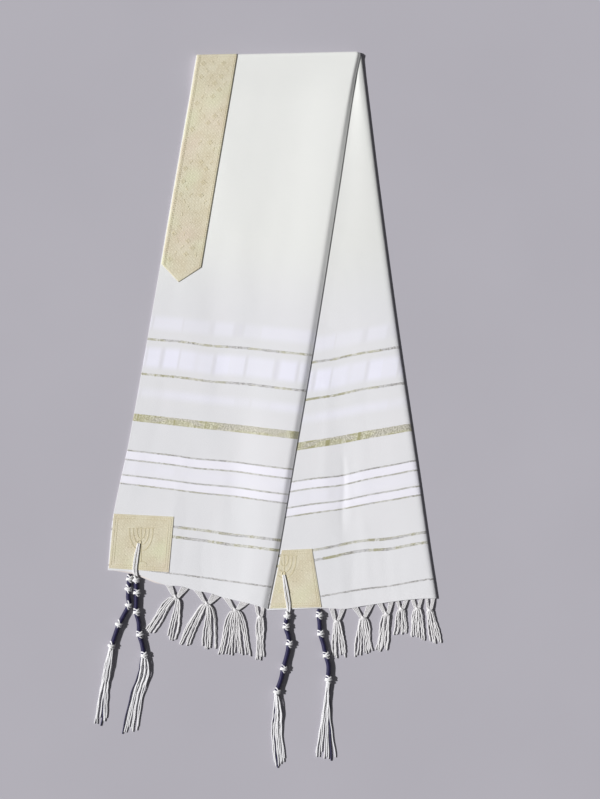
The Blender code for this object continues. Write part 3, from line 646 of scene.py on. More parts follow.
def add_object(name, mesh, material):
    mesh.materials.append(material)
    mesh.polygons.foreach_set("use_smooth", [True] * len(mesh.polygons))
    obj = bpy.data.objects.new(name, mesh)
    bpy.context.scene.collection.objects.link(obj)
    return obj


def mesh_object(name, mesh, material):
    bmesh.ops.recalc_face_normals(mesh, faces=mesh.faces)
    data = bpy.data.meshes.new(name)
    mesh.to_mesh(data)
    mesh.free()
    return add_object(name, data, material)


def own(obj, slot, *nodes):
    """Gives a piece its body and hides the solids it stands for. The slot is not used."""
    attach(obj, "root")
    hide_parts(*nodes)
    return obj


def sheet_object(name, points, cut, material, thickness, offset):
    """A smooth cloth through rows of points, thickened inwards (-1) or outwards (1)."""
    row_count, column_count = points.shape[:2]
    index = np.arange(row_count * column_count).reshape(row_count, column_count)
    quads = np.stack([index[:-1, :-1], index[1:, :-1], index[1:, 1:], index[:-1, 1:]], -1)
    mesh = bpy.data.meshes.new(name)
    mesh.from_pydata(points.reshape(-1, 3).tolist(), [], quads.reshape(-1, 4).tolist())
    layer = mesh.uv_layers.new(name="cut")
    layer.data.foreach_set("uv", cut.reshape(-1, 2)[quads.reshape(-1)].reshape(-1))
    obj = add_object(name, mesh, material)
    solidify = obj.modifiers.new("Thickness", "SOLIDIFY")
    solidify.thickness = thickness
    solidify.offset = offset
    solidify.use_even_offset = True
    return obj


def layered_solid(name, tops, bottoms, material):
    """A closed solid whose sides are grooved like stacked cloth."""
    mesh = bmesh.new()
    row_count, column_count = tops.shape[:2]
    top = [[mesh.verts.new(point) for point in row] for row in tops]
    bottom = [[mesh.verts.new(point) for point in row] for row in bottoms]
    for row in range(row_count - 1):
        for column in range(column_count - 1):
            quad = [(row, column), (row + 1, column), (row + 1, column + 1), (row, column + 1)]
            mesh.faces.new([top[r][c] for r, c in quad])
            mesh.faces.new([bottom[r][c] for r, c in reversed(quad)])
    last_row, last_column = row_count - 1, column_count - 1
    rim = [(row, 0) for row in range(last_row)]
    rim += [(last_row, column) for column in range(last_column)]
    rim += [(row, last_column) for row in range(last_row, 0, -1)]
    rim += [(0, column) for column in range(last_column, 0, -1)]
    sides = []
    for row, column in rim:
        high, low = top[row][column].co, bottom[row][column].co
        inner = top[min(max(row, 1), last_row - 1)][min(max(column, 1), last_column - 1)].co
        inwards = Vector((inner.x - high.x, inner.y - high.y, 0)).normalized()
        depth = EDGE_GROOVE * float(smooth((high.z - low.z - LAYER) / (2 * MM)))
        side = [top[row][column]]
        for share, sunk in SIDE_PROFILE:
            side.append(mesh.verts.new(low.lerp(high, share) + inwards * depth * sunk))
        sides.append(side + [bottom[row][column]])
    for side, after in zip(sides, sides[1:] + sides[:1]):
        for step in range(len(side) - 1):
            mesh.faces.new((side[step], side[step + 1], after[step + 1], after[step]))
    return mesh_object(name, mesh, material)


def sweep(mesh, path, radii, sides):
    """A closed round tube along a path, with uv = along, around. The radii are one
    number, one for each point, or one for each point and side."""
    uv_layer = mesh.loops.layers.uv.verify()
    ahead = unit(np.gradient(path, axis=0))
    across = unit(np.cross(ahead, (0.0, 0.0, 1.0)))
    up = np.cross(across, ahead)
    length = arc_length(path)
    radii = np.asarray(radii, dtype=float)
    radii = radii.reshape(radii.shape + (1,) * (3 - radii.ndim))
    turn = 2 * pi * np.arange(sides)[:, None] / sides
    places = path[:, None] + radii * (across[:, None] * np.cos(turn) + up[:, None] * np.sin(turn))
    rings = [[mesh.verts.new(place) for place in ring] for ring in places]
    for index in range(len(path) - 1):
        for side in range(sides):
            after = (side + 1) % sides
            face = mesh.faces.new((rings[index][side], rings[index + 1][side],
                                   rings[index + 1][after], rings[index][after]))
            spots = ((index, side), (index + 1, side), (index + 1, side + 1), (index, side + 1))
            for corner, (row, turned_by) in zip(face.loops, spots):
                corner[uv_layer].uv = (length[row], turned_by / sides)
    mesh.faces.new(list(reversed(rings[0])))
    mesh.faces.new(rings[-1])


def strand(mesh, path, thickness, rng, kink, sides):
    """One plied thread: a tube along a path that wanders a little."""
    reach = np.linspace(0, 1, len(path))
    phase = rng.uniform(0, 2 * pi)
    turns = rng.uniform(4, 7)
    wander = kink * smooth(reach * 3) * np.sin(phase + turns * 2 * pi * reach)
    path = path.copy()
    path[:, :2] += left_of(unit(np.gradient(path, axis=0))) * wander[:, None]
    radii = thickness * (1 + 0.08 * np.sin(9 * reach + phase))
    radii[-1] *= 0.7
    path[:, 2] = np.maximum(path[:, 2], FLOOR_CLEAR + radii - 0.05 * MM)
    sweep(mesh, path, radii, sides)


def knot_wraps(mesh, centre, sizes, heading, thickness, wraps):
    """A tied knot: loops of yarn round a small core. A wrap is its lean in degrees, how
    far it is pushed ahead and its share of the knot's size."""
    ahead, side = np.array([*heading, 0.0]), np.array([*left_of(heading), 0.0])
    turn = np.linspace(0, 2 * pi, WRAP_STEPS)[:, None]
    for degrees, push, share in wraps:
        lean = radians(degrees)
        along = ahead * cos(lean) + side * sin(lean)
        across = side * cos(lean) - ahead * sin(lean)
        wide, high = share * sizes[0] - thickness, share * sizes[2] - thickness
        ring = np.cos(turn) * across * wide + np.sin(turn) * np.array([0.0, 0.0, high])
        path = centre + ahead * push + ring + np.sin(2 * turn) * along * WRAP_SWAY
        sweep(mesh, path, thickness, STRING_SIDES)
    core = bmesh.ops.create_uvsphere(mesh, u_segments=10, v_segments=7, radius=1.0)["verts"]
    bmesh.ops.scale(mesh, verts=core, vec=[size - KNOT_CORE_INSET for size in sizes])
    bmesh.ops.translate(mesh, verts=core, vec=centre)


def on_leg(plan, leg, lift):
    """Points a lift above a leg's outer face at plan points, found row by row."""
    low, high = np.zeros(plan.shape[:-1]), np.ones(plan.shape[:-1])
    for _ in range(HALVINGS):
        along = (low + high) / 2
        start = leg_plan(leg, along, np.zeros_like(along))[..., 0]
        end = leg_plan(leg, along, np.ones_like(along))[..., 0]
        across = np.clip((plan[..., 0] - start) / (end - start), 0, 1)
        above = leg_plan(leg, along, across)[..., 1] > plan[..., 1]
        low, high = np.where(above, along, low), np.where(above, high, along)
    height = (front_height, back_height)[leg](along, across)
    return points3(plan, height + lift)


def stitch_row(mesh, line, rng):
    """A row of short stitches along a line of points, on its surface."""
    for start in np.arange(STITCH_START, arc_length(line)[-1] - STITCH_PITCH, STITCH_PITCH):
        start += rng.uniform(-STITCH_JITTER, STITCH_JITTER)
        at = start + np.linspace(0, STITCH_SHARE * STITCH_PITCH, len(STITCH_ARCH))
        path = resampled(line, at)
        path[:, 2] += STITCH_ARCH
        sweep(mesh, path, STITCH_RADIUS, STITCH_SIDES)


def patch_plan(leg, side, down):
    """Plan points on a corner patch at shares across and down."""
    top_left, top_right, bottom_right, bottom_left = np.array(PATCHES[leg]) * MM
    return lerp(lerp(top_left, bottom_left, down), lerp(top_right, bottom_right, down), side)


def patch_points(leg):
    """Rows of points of a corner patch's underside and where they lie in its cut."""
    middle = np.linspace(0, 1, PATCH_STEPS)[1:-1]
    shares = np.concatenate([[0, PATCH_EDGE], middle, [1 - PATCH_EDGE, 1]])
    down, side = np.meshgrid(shares, shares, indexing="ij")
    down, side = down[..., None], side[..., None]
    top_left, top_right, bottom_right, bottom_left = np.array(PATCHES[leg]) * MM
    wide = (np.linalg.norm(top_right - top_left) + np.linalg.norm(bottom_right - bottom_left)) / 2
    cut = np.concatenate([side * wide, down * np.linalg.norm(bottom_left - top_left)], -1)
    return on_leg(patch_plan(leg, side, down), leg, TRIM_GAP), cut


def lamp_lines():
    """A plain seven-branched lamp in mm about its stem's middle, as lines of points."""
    turn = np.linspace(pi, 2 * pi, 25)
    lines = [[(0.0, 30.0 - 58 * f) for f in np.linspace(0, 1, 20)]]
    for radius, depth in ((6.5, 13.0), (13.0, 23.0), (19.5, 33.0)):
        arc = np.stack([radius * np.cos(turn), 24.0 + depth * np.sin(turn)], -1)
        lines.append([(-radius, 28.0), *arc, (radius, 28.0)])
    for x in (-19.5, -13.0, -6.5, 0.0, 6.5, 13.0, 19.5):
        lines.append([(x - 2.2, 29.0), (x, 28.0), (x + 2.2, 29.0)])
    lines.append([(-9.0, -31.0), (-4.5, -27.5), (0.0, -26.5), (4.5, -27.5), (9.0, -31.0)])
    lines.append([(-10.5, -33.0), (0.0, -32.4), (10.5, -33.0)])
    return lines


def embroidery(name, leg):
    """Stitched edges, a tonal lamp and a bound eyelet on a corner patch. The back one
    has no seam at its left, where the front leg covers it."""
    rng = random.Random(len(name))
    mesh = bmesh.new()
    f = np.linspace(0, 1, SEAM_STEPS)[:, None]
    for inset in PATCH_SEAMS:
        far = 1 - inset
        near = 0.02 if leg else inset
        seams = [((far, far), (far, inset)), ((near, inset), (far, inset)), ((far, far), (near, far))]
        if leg == FRONT:
            seams.insert(0, ((inset, inset), (inset, far)))
        for start, end in seams:
            plan = patch_plan(leg, lerp(start[0], end[0], f), lerp(start[1], end[1], f))
            stitch_row(mesh, on_leg(plan, leg, TRIM_TOP), rng)
    high, low = PATCHES[leg][0], PATCHES[leg][3]
    for line in lamp_lines():
        dense = curve_points(line, 3 * len(line)) + np.array(LAMPS[leg])
        for shift in (-LAMP_LINE_HALF, LAMP_LINE_HALF):
            plan = dense + np.array([shift, 0.0])
            edge = np.interp(plan[:, 1], (low[1], high[1]), (low[0], high[0]))
            plan = plan[plan[:, 0] > edge + 2.0] * MM
            if len(plan) > 3:
                line = on_leg(plan, leg, TRIM_TOP - ORNAMENT_SINK)
                sweep(mesh, line, ORNAMENT_RADIUS, STITCH_SIDES)
    turn = np.linspace(0, 2 * pi, 25)
    ring = np.stack([np.cos(turn), np.sin(turn)], -1) * EYELET_RADIUS
    ring = on_leg(ring + np.array(EYELETS[leg]) * MM, leg, TRIM_TOP + EYELET_LIFT)
    sweep(mesh, ring, EYELET_THREAD, STRING_SIDES)
    own(mesh_object(name, mesh, sewing), "brocade")


def band_spot(across, reach, lift):
    """Points above the front leg from distances to the selvedge and along the cut."""
    along = reach / LEG_LENGTH
    share = across / leg_width(FRONT, along)
    return points3(leg_plan(FRONT, along, share), front_height(along, share) + lift)


def band_points():
    """Rows of points of the neckband's underside and where they lie in the cut."""
    places = np.linspace(*ATARAH_EDGES, BAND_COLUMNS)
    middle = sum(ATARAH_EDGES) / 2
    pointed = 1 - np.abs(places - middle) / (ATARAH_EDGES[1] - middle)
    first = band_spot(places, np.full(BAND_COLUMNS, TOP_RADIUS), TRIM_GAP)
    rows, reaches = [], []
    for angle in np.radians(np.linspace(135, 12, BAND_TURNS)):
        rows.append(turned(first, angle))
        reaches.append(np.full(BAND_COLUMNS, -TOP_RADIUS * angle))
    for share in np.linspace(0, 1, BAND_ROWS):
        reach = lerp(TOP_RADIUS, ATARAH_SHOULDER + ATARAH_TIP * pointed, share)
        rows.append(band_spot(places, reach, TRIM_GAP))
        reaches.append(reach)
    return np.array(rows), np.stack([np.tile(places, (len(rows), 1)), reaches], -1)


def band_sewing(points, cut):
    """The neckband's seams, and small four-leaved flowers and short sprigs strewn down
    it in its tone."""
    mesh = bmesh.new()
    for seam in SEAM_PLACES:
        column = int(np.argmin(np.abs(cut[-1, :, 0] - seam * MM)))
        line = points[8:, column] + np.array([0.0, 0.0, TRIM])
        stitch_row(mesh, line, random.Random(int(seam)))
    rng = random.Random(5)
    turn, f = np.linspace(0, 2 * pi, 33), np.linspace(-1, 1, 13)
    for row, reach in enumerate(np.arange(*FLOWER_ROWS)):
        for column in (-1, 0, 1):
            if rng.random() < FLOWER_GAPS:
                continue
            shift = FLOWER_SHIFT if row % 2 else -FLOWER_SHIFT
            across = sum(ATARAH_EDGES) / 2 + (column * FLOWER_COLUMN + shift) * MM
            if (row + column) % 2:
                leaf = LEAF_START + LEAF_LENGTH * np.abs(np.cos(2 * turn))
                aside, ahead = leaf * np.cos(turn), leaf * np.sin(turn)
            else:
                bend = rng.uniform(-SPRIG_BEND, SPRIG_BEND)
                aside, ahead = bend * np.sin(pi * f), SPRIG_HALF * f
            line = band_spot(across + aside, reach + ahead, TRIM_TOP - ORNAMENT_SINK)
            sweep(mesh, line, ORNAMENT_RADIUS, STITCH_SIDES)
    own(mesh_object("neckband_stitching", mesh, sewing), "brocade")


def grouped_shares(count, rng, parting=0.0, place=0.5):
    """Shares across a bundle whose threads fall in groups: small gaps, and one parting."""
    steps = [1.0 + rng.uniform(-0.35, 0.35) for _ in range(count - 1)]
    for small in rng.sample(range(count - 1), min(2, count - 1)):
        steps[small] += 0.9
    steps[int(place * (count - 1))] += parting
    shares = np.concatenate([[0.0], np.cumsum(steps)])
    return shares / shares[-1]


def fringe_bundle(name, bundle, leg, number):
    """Threads that leave the hem as two strings, meet in a knot and fall loose below it."""
    rng = random.Random(31 * number + len(name))
    knot_x, knot_y, left, right, left_x, left_y, right_x, right_y, count, parting, place = bundle
    knot, knot_height = np.array([knot_x, knot_y]) * MM, FRINGE_KNOT_MIDDLE
    left_end, right_end = np.array([left_x, left_y]) * MM, np.array([right_x, right_y]) * MM
    hem = leg_plan(leg, np.ones(HEM_STEPS), np.linspace(0, 1, HEM_STEPS))
    heading = unit((left_end + right_end) / 2 - knot)
    side = left_of(heading)
    down, fall = np.linspace(0, 1, 8), np.linspace(0, 1, 24)[:, None]
    mesh = bmesh.new()
    for index, share in enumerate(grouped_shares(count, rng, parting, place)):
        held = index / (count - 1)
        string = 0.6 * held if held < 0.5 else 1 - 0.6 * (1 - held)
        root_x = lerp(left, right, string) * MM
        root = np.array([root_x, np.interp(root_x, hem[:, 0], hem[:, 1]) + 1.2 * MM])
        meet = knot + side * (2 * held - 1) * FRINGE_KNOT_WIDTH
        jitter = [rng.uniform(-0.2, 0.2) * MM for _ in down]
        plan = root + np.outer(down, meet - root) + np.outer(jitter, side)
        height = lerp(ONE_LAYER_TOP - 0.9 * MM, knot_height + 0.3 * MM, smooth(down * 1.2))
        path = points3(plan, height)
        strand(mesh, path, STRAND_RADIUS, rng, STRING_KINK, STRING_SIDES)
        end = lerp(left_end, right_end, min(max(share + rng.uniform(-0.04, 0.04), 0), 1))
        way = knot + (end - knot) * (1 + rng.uniform(-0.08, 0.04)) - meet
        straight = heading * np.dot(way, heading)
        bow = side * rng.uniform(-1.4, 1.4) * MM
        swing = 0.5 + 0.6 * (1 - abs(2 * share - 1))
        plan = meet + straight * fall + (way - straight) * fall**swing
        plan = plan + bow * np.sin(2.2 * pi * fall)
        low = FLOOR_CLEAR + FRINGE_STRAND + index % 2 * 1.2 * MM * (1 - fall[:, 0])
        high = knot_height + (index % 2 - 0.3) * MM
        path = points3(plan, lerp(high, low, smooth(fall[:, 0] * 1.9)))
        strand(mesh, path, FRINGE_STRAND, rng, THREAD_KINK, THREAD_SIDES)
    wraps = ((-32, -1.4 * MM, 1.0), (28, 0.4 * MM, 1.0), (4, 1.8 * MM, 0.9))
    centre = np.array([*knot, knot_height])
    knot_wraps(mesh, centre, FRINGE_KNOT_WRAPS, heading, FRINGE_STRAND, wraps)
    title = f"{name}_{number}"
    own(mesh_object(title + "_threads", mesh, yarn), "white_yarn", title)


def wound_cord(name, points):
    """A cord wound with dark thread between white double knots."""
    path = curve_points(points, CORD_STOPS)
    kind = path[:, 2]
    radius = lerp(CORD_RADIUS, CORD_KNOT, smooth((kind - 0.45) / 0.45))
    radius = lerp(radius, CORD_NECK, np.clip(-kind, 0.0, 1.0))
    line = points3(path[:, :2] * MM, FLOOR_CLEAR + radius)
    length = arc_length(line)
    even = np.linspace(0, length[-1], 4 * CORD_STOPS)
    line = resampled(line, even)
    shank = np.interp(even, length, np.minimum(radius, CORD_RADIUS))
    turn = 2 * pi * np.arange(CORD_SIDES) / CORD_SIDES
    ridge = np.abs(np.sin(pi * even[:, None] / WINDING_PITCH + turn / 2))
    mesh = bmesh.new()
    radii = shank[:, None] - WINDING_SINK + WINDING_DEPTH * ridge**WINDING_SHAPE
    sweep(mesh, line, radii, CORD_SIDES)
    own(mesh_object(name + "_windings", mesh, navy), "navy_thread", name + "_cord")
    knots = bmesh.new()
    for index, (x, y, kind) in enumerate(points):
        if kind != 1:
            continue
        at = int(np.argmin(np.hypot(line[:, 0] - x * MM, line[:, 1] - y * MM)))
        heading = unit((line[min(at + 8, len(line) - 1)] - line[max(at - 8, 0)])[:2])
        turned_to = 1 if index % 2 else -1
        centre = line[at] + np.array([*left_of(heading), 0.0]) * CORD_KNOT_ASIDE * turned_to
        lean = 10 * turned_to
        wraps = ((lean - 34, -3.8 * MM, 0.82), (lean + 30, -0.9 * MM, 1.0),
                 (lean - 2, 1.5 * MM, 0.98), (lean - 38, 4.2 * MM, 0.8))
        knot_wraps(knots, centre, CORD_KNOT_WRAPS, heading, CORD_WRAP, wraps)
    # The knots take the lighter yarn: painted light on the same string as the tassel.
    own(mesh_object(name + "_knots", knots, lit_yarn), "white_yarn")


def tassel(name, cord, points, widths, dark_place):
    """White threads, one of them dark, that hang from a wound cord's last knot."""
    rng = random.Random(len(name) * 7 + int(widths[-1]))
    cord_end, cord_before = np.array(cord[-1][:2]), np.array(cord[-2][:2])
    start = cord_end + unit(cord_end - cord_before) * (TASSEL_HEAD + GAP - CAD_NOSE) / MM
    middle = curve_points((tuple(start), *points), TASSEL_STEPS) * MM
    side = left_of(unit(np.gradient(middle, axis=0)))
    f = np.linspace(0, 1, TASSEL_STEPS + 1)
    width = np.interp(f, np.linspace(0, 1, len(widths)), widths) * MM
    width = np.convolve(np.pad(width, 6, mode="edge"), np.ones(13) / 13, mode="valid")
    white, dark = bmesh.new(), bmesh.new()
    for index, share in enumerate(grouped_shares(TASSEL_STRANDS, rng)):
        is_dark = index == dark_place
        layer = 0 if is_dark else index % 3
        thick = STRAND_RADIUS * (1.25 if index % 2 else 1.05)
        reach = rng.uniform(0.5, 1.0)
        cross = rng.uniform(-2.2, 2.2) * MM * np.sin(2 * pi * f * reach) * smooth(f * 4)
        plan = middle + side * (width * (2 * share - 1) + cross)[:, None]
        keep = len(f) if is_dark else int(len(f) - rng.uniform(0, 5))
        high = FLOOR_CLEAR + TASSEL_HEAD - 0.6 * MM + (layer - 1) * TASSEL_LAYER_TOP
        low = FLOOR_CLEAR + STRAND_RADIUS + layer * TASSEL_LAYER_END * (1 - f)
        path = points3(plan, lerp(high, low, smooth(f * 1.5)))[:keep]
        strand(dark if is_dark else white, path, thick, rng, THREAD_KINK, THREAD_SIDES)
    own(mesh_object(name + "_dark_thread", dark, navy), "navy_thread")
    own(mesh_object(name + "_threads", white, tassel_yarn), "white_yarn", name + "_tassel")


def loop(name, leg):
    """White strands that lie on a corner patch from its eyelet to the wound cord."""
    rng = random.Random(len(name))
    middle = curve_points(LOOPS[leg], 24) * MM
    side = left_of(unit(np.gradient(middle, axis=0)))
    height = on_leg(middle, leg, TRIM_TOP + GAP + 0.6 * MM)[:, 2]
    apart = (1.2 + 1.3 * np.sin(pi * np.linspace(0, 1, 25) ** 0.8))[:, None] * MM
    mesh = bmesh.new()
    for offset, lift in ((-1.25, 0.0), (-0.55, 0.5), (0.6, 0.1), (1.3, 0.45)):
        path = points3(middle + side * offset * apart, height + lift * MM)
        strand(mesh, path, LOOP_STRAND, rng, LOOP_KINK, STRING_SIDES)
    # The loop takes the lighter yarn: painted light.
    own(mesh_object(name + "_threads", mesh, lit_yarn), "white_yarn", name)


def linear(value):
    """A 0 to 255 screen value as light, 0 to 1."""
    value = value / 255
    return value / 12.92 if value < 0.04045 else ((value + 0.055) / 1.055) ** 2.4


class Value:
    """What one shader node gives, for sums written like those of numbers."""

    def __init__(self, surface, socket):
        self.surface = surface
        self.socket = socket

    def __add__(self, other):
        return self.surface.math("ADD", self, other)

    def __rsub__(self, other):
        return self.surface.math("SUBTRACT", other, self)

    def __sub__(self, other):
        return self.surface.math("SUBTRACT", self, other)

    def __mul__(self, other):
        return self.surface.math("MULTIPLY", self, other)

    def __truediv__(self, other):
        return self.surface.math("DIVIDE", self, other)

    def __abs__(self):
        return self.surface.math("ABSOLUTE", self)


class Surface:
    """A procedural material: small helpers over its node tree."""

    def __init__(self, name, sheen=0.2, sheen_roughness=0.4):
        self.material = bpy.data.materials.new(name)
        self.material.use_nodes = True
        self.tree = self.material.node_tree
        self.shader = self.tree.nodes["Principled BSDF"]
        self.set("Sheen Weight", sheen)
        self.set("Sheen Roughness", sheen_roughness)

    def plug(self, socket, value):
        """Links a value, or sets a number, or a colour given in 0 to 255 screen values."""
        if isinstance(value, Value):
            self.tree.links.new(value.socket, socket)
        elif isinstance(value, tuple):
            socket.default_value = (*[linear(part) for part in value], 1.0)
        else:
            socket.default_value = value

    def set(self, name, value):
        self.plug(self.shader.inputs[name], value)

    def node(self, kind, inputs, output=0, **settings):
        made = self.tree.nodes.new("ShaderNode" + kind)
        for key, value in settings.items():
            setattr(made, key, value)
        for key, value in inputs.items():
            self.plug(made.inputs[key], value)
        return Value(self, made.outputs[output])

    def math(self, operation, first, second=0.0, clamp=False):
        return self.node("Math", {0: first, 1: second}, operation=operation, use_clamp=clamp)

    def most(self, first, *others):
        for other in others:
            first = self.math("MAXIMUM", first, other)
        return first

    def sine(self, value):
        return self.math("SINE", value)

    def mix(self, share, first, second):
        return self.node("Mix", {0: share, 6: first, 7: second}, 2, data_type="RGBA")

    def tinted(self, colour, *layers):
        """A colour with others laid over it, each by its share."""
        for share, other in layers:
            colour = self.mix(share, colour, other)
        return colour

    def noise(self, place, scale, detail=3.0, roughness=0.5):
        """Smooth noise at a place, or along a line where the place is one number."""
        line = place.socket.type == "VALUE"
        inputs = {"Scale": scale, "Detail": detail, "Roughness": roughness}
        inputs["W" if line else "Vector"] = place
        return self.node("TexNoise", inputs, noise_dimensions="1D" if line else "3D")

    def dice(self, x, y):
        """One random number for each whole cell of x and y."""
        spot = self.combine(self.math("FLOOR", x), self.math("FLOOR", y))
        return self.node("TexWhiteNoise", {"Vector": spot})

    def ramp(self, value, start, end):
        """0 to 1 as a value goes from start to end, eased at both ends."""
        inputs = {"Value": value, "From Min": start, "From Max": end}
        return self.node("MapRange", inputs, interpolation_type="SMOOTHSTEP")

    def combine(self, x, y):
        return self.node("CombineXYZ", {0: x, 1: y})

    def bump(self, height, distance, strength):
        inputs = {"Strength": strength, "Distance": distance, "Height": height}
        self.set("Normal", self.node("Bump", inputs))

    def split(self, uv_map):
        """Both numbers of a uv map: in the cloths, across and along in the cut, in metres."""
        uv = self.node("UVMap", {}, uv_map=uv_map)
        return self.node("SeparateXYZ", {0: uv}, 0), self.node("SeparateXYZ", {0: uv}, 1)

    def place(self):
        return self.node("TexCoord", {}, "Object")


def stripe_masks(surface, along):
    """Metal, satin and grey masks, added up stripe by stripe."""
    masks = [0.0, 0.0, 0.0]
    for middle, width, *strengths in STRIPES:
        inside = surface.math("LESS_THAN", abs(along - middle * MM), width / 2 * MM)
        for index, strength in enumerate(strengths):
            if strength:
                masks[index] = inside * strength + masks[index]
    return masks


def block_bands(surface, across, along):
    """Soft blocks of satin weave, of uneven width, in bands across the cloth, and painted shade in
    the gaps between some of them, where the satin wrinkles."""
    sway = surface.noise(across, 22.0, 1.0)
    total, gap_shade = 0.0, 0.0
    for index, (middle, half, strength, wide) in enumerate(BLOCK_BANDS):
        cells = sway * 1.5 + across / (wide * MM)
        deep = surface.ramp(surface.dice(cells + 0.5, index + 7.0), 0.25, 0.85)
        inside = surface.math("PINGPONG", surface.math("FRACT", cells), 0.5)
        gap = surface.ramp(inside, 6.5 / wide, 0.0) * deep
        band = surface.ramp(abs(along - middle * MM), (half + 7.0) * MM, (half - 7.0) * MM)
        lit = band * (surface.dice(cells, index) * (0.5 * strength) + 0.5 * strength)
        total = lit * (1.0 - gap) + total
        # Painted shade where the satin wrinkles between blocks.
        gap_shade = lit * gap + gap_shade
    return total, gap_shade


def metal_thread(surface, across, along, metal, grey, bar_share):
    """Colour and cover of the lurex in the stripes: speckled, in dashes and short bars, with painted
    glints and a few paler cells of painted highlight.
    """
    place = surface.combine(across, along)
    grain = surface.ramp(surface.noise(place, 520.0, 2.0), 0.40, 0.60)
    # Sparse bright specks: painted glints of the metal thread.
    glint = surface.ramp(surface.noise(place, 300.0, 1.0), 0.68, 0.74)
    dash = surface.ramp(surface.noise(surface.combine(across, along * 0.15), 95.0, 1.0), 0.42, 0.58)
    turns = surface.noise(surface.combine(across, along * 3.0), 22.0, 1.0)
    grey = surface.math("ADD", grey, surface.ramp(turns, 0.48, 0.62), clamp=True)
    cells = surface.noise(across, 60.0, 1.0) * 2.0 + across / (8.5 * MM)
    dice = surface.dice(cells, along / (18 * MM) + 0.35)
    bar = surface.math("LESS_THAN", surface.math("FRACT", cells), bar_share)
    bar = surface.math("GREATER_THAN", dice, 0.78) * bar
    # A few paler cells: painted highlights.
    pale_highlight = surface.math("LESS_THAN", dice, 0.12)
    thick = surface.ramp(metal, 0.9, 0.98)
    deep = surface.mix(thick, (122, 118, 82), (166, 162, 130))
    gold = surface.tinted(
        deep, (grain, (231, 229, 208)), (dash * 0.4, (158, 152, 100)),
        (bar * 0.75, (158, 153, 104)), (pale_highlight * 0.3, (236, 233, 216)), (glint * 0.8, (246, 244, 222)))
    fine_silver = surface.mix(grain, (112, 109, 108), (214, 211, 208))
    wide_silver = surface.mix(grain, (164, 160, 142), (224, 220, 208))
    silver = surface.mix(thick, fine_silver, wide_silver)
    cover = metal * (surface.most(dash, thick, bar) * 0.4 + 0.6)
    patchy = surface.noise(place, 1500.0, 1.0) * 0.35 + 0.8
    cover = surface.math("MULTIPLY", cover, patchy, clamp=True)
    return surface.mix(grey, gold, silver), cover, grain


def cloth_material(name, painted_shade, bar_share):
    """White wool with its woven stripes. Its shade darkens the plain upper part a little, as painted
    shade for a leg that the light catches more, and bar_share is how much of a cell the solid bars in
    the metal thread fill."""
    surface = Surface(name)
    across, along = surface.split("cut")
    wander = surface.noise(across * 60.0, 4.0)
    frayed = surface.noise(across * 900.0, 1.0, 1.0)
    shifted = frayed * (1.1 * MM) + (wander * (1.0 * MM) + along) - 1.0 * MM
    metal, satin, grey = stripe_masks(surface, shifted)
    blocks, gap_shade = block_bands(surface, across, along)
    metal_colour, cover, grain = metal_thread(surface, across, along, metal, grey, bar_share)
    large = surface.noise(surface.place(), 7.0)
    slubs = surface.noise(surface.combine(across * 0.05, along), 900.0)
    # The plain upper part, darkened by painted shade on the back leg.
    upper = surface.mix(large, (230 - painted_shade, 231 - painted_shade, 228 - painted_shade),
                        (235 - painted_shade, 235 - painted_shade, 232 - painted_shade))
    lower = surface.mix(large, (221, 222, 225), (229, 227, 230))
    white = surface.mix(surface.ramp(along, 0.30, 0.46), upper, lower)
    # The gaps between satin blocks carry painted shade in a lilac grey.
    base = surface.tinted(
        white, (slubs * 0.10, (206, 205, 203)), (satin, (238, 236, 245)),
        (blocks, (236, 235, 248)), (gap_shade * 0.8, (218, 216, 227)), (cover, metal_colour))
    surface.set("Base Color", base)
    surface.set("Metallic", cover * 0.35)
    surface.set("Roughness", surface.most(satin, blocks, cover) * -0.34 + 0.84)
    weave = surface.sine(across * (2 * pi / (0.8 * MM))) * surface.sine(along * (2 * pi / (0.9 * MM)))
    fuzz = surface.noise(surface.combine(across, along), 420.0)
    height = cover * grain * 1.2 + (slubs * 0.5 + (weave * 0.35 + fuzz))
    surface.bump(height, 0.22 * MM, 0.55)
    return surface.material


def plain_cloth_material(name, first, second):
    surface = Surface(name)
    place = surface.place()
    surface.set("Base Color", surface.mix(surface.noise(place, 12.0), first, second))
    surface.set("Roughness", 0.85)
    surface.bump(surface.noise(place, 900.0), 0.2 * MM, 0.5)
    return surface.material


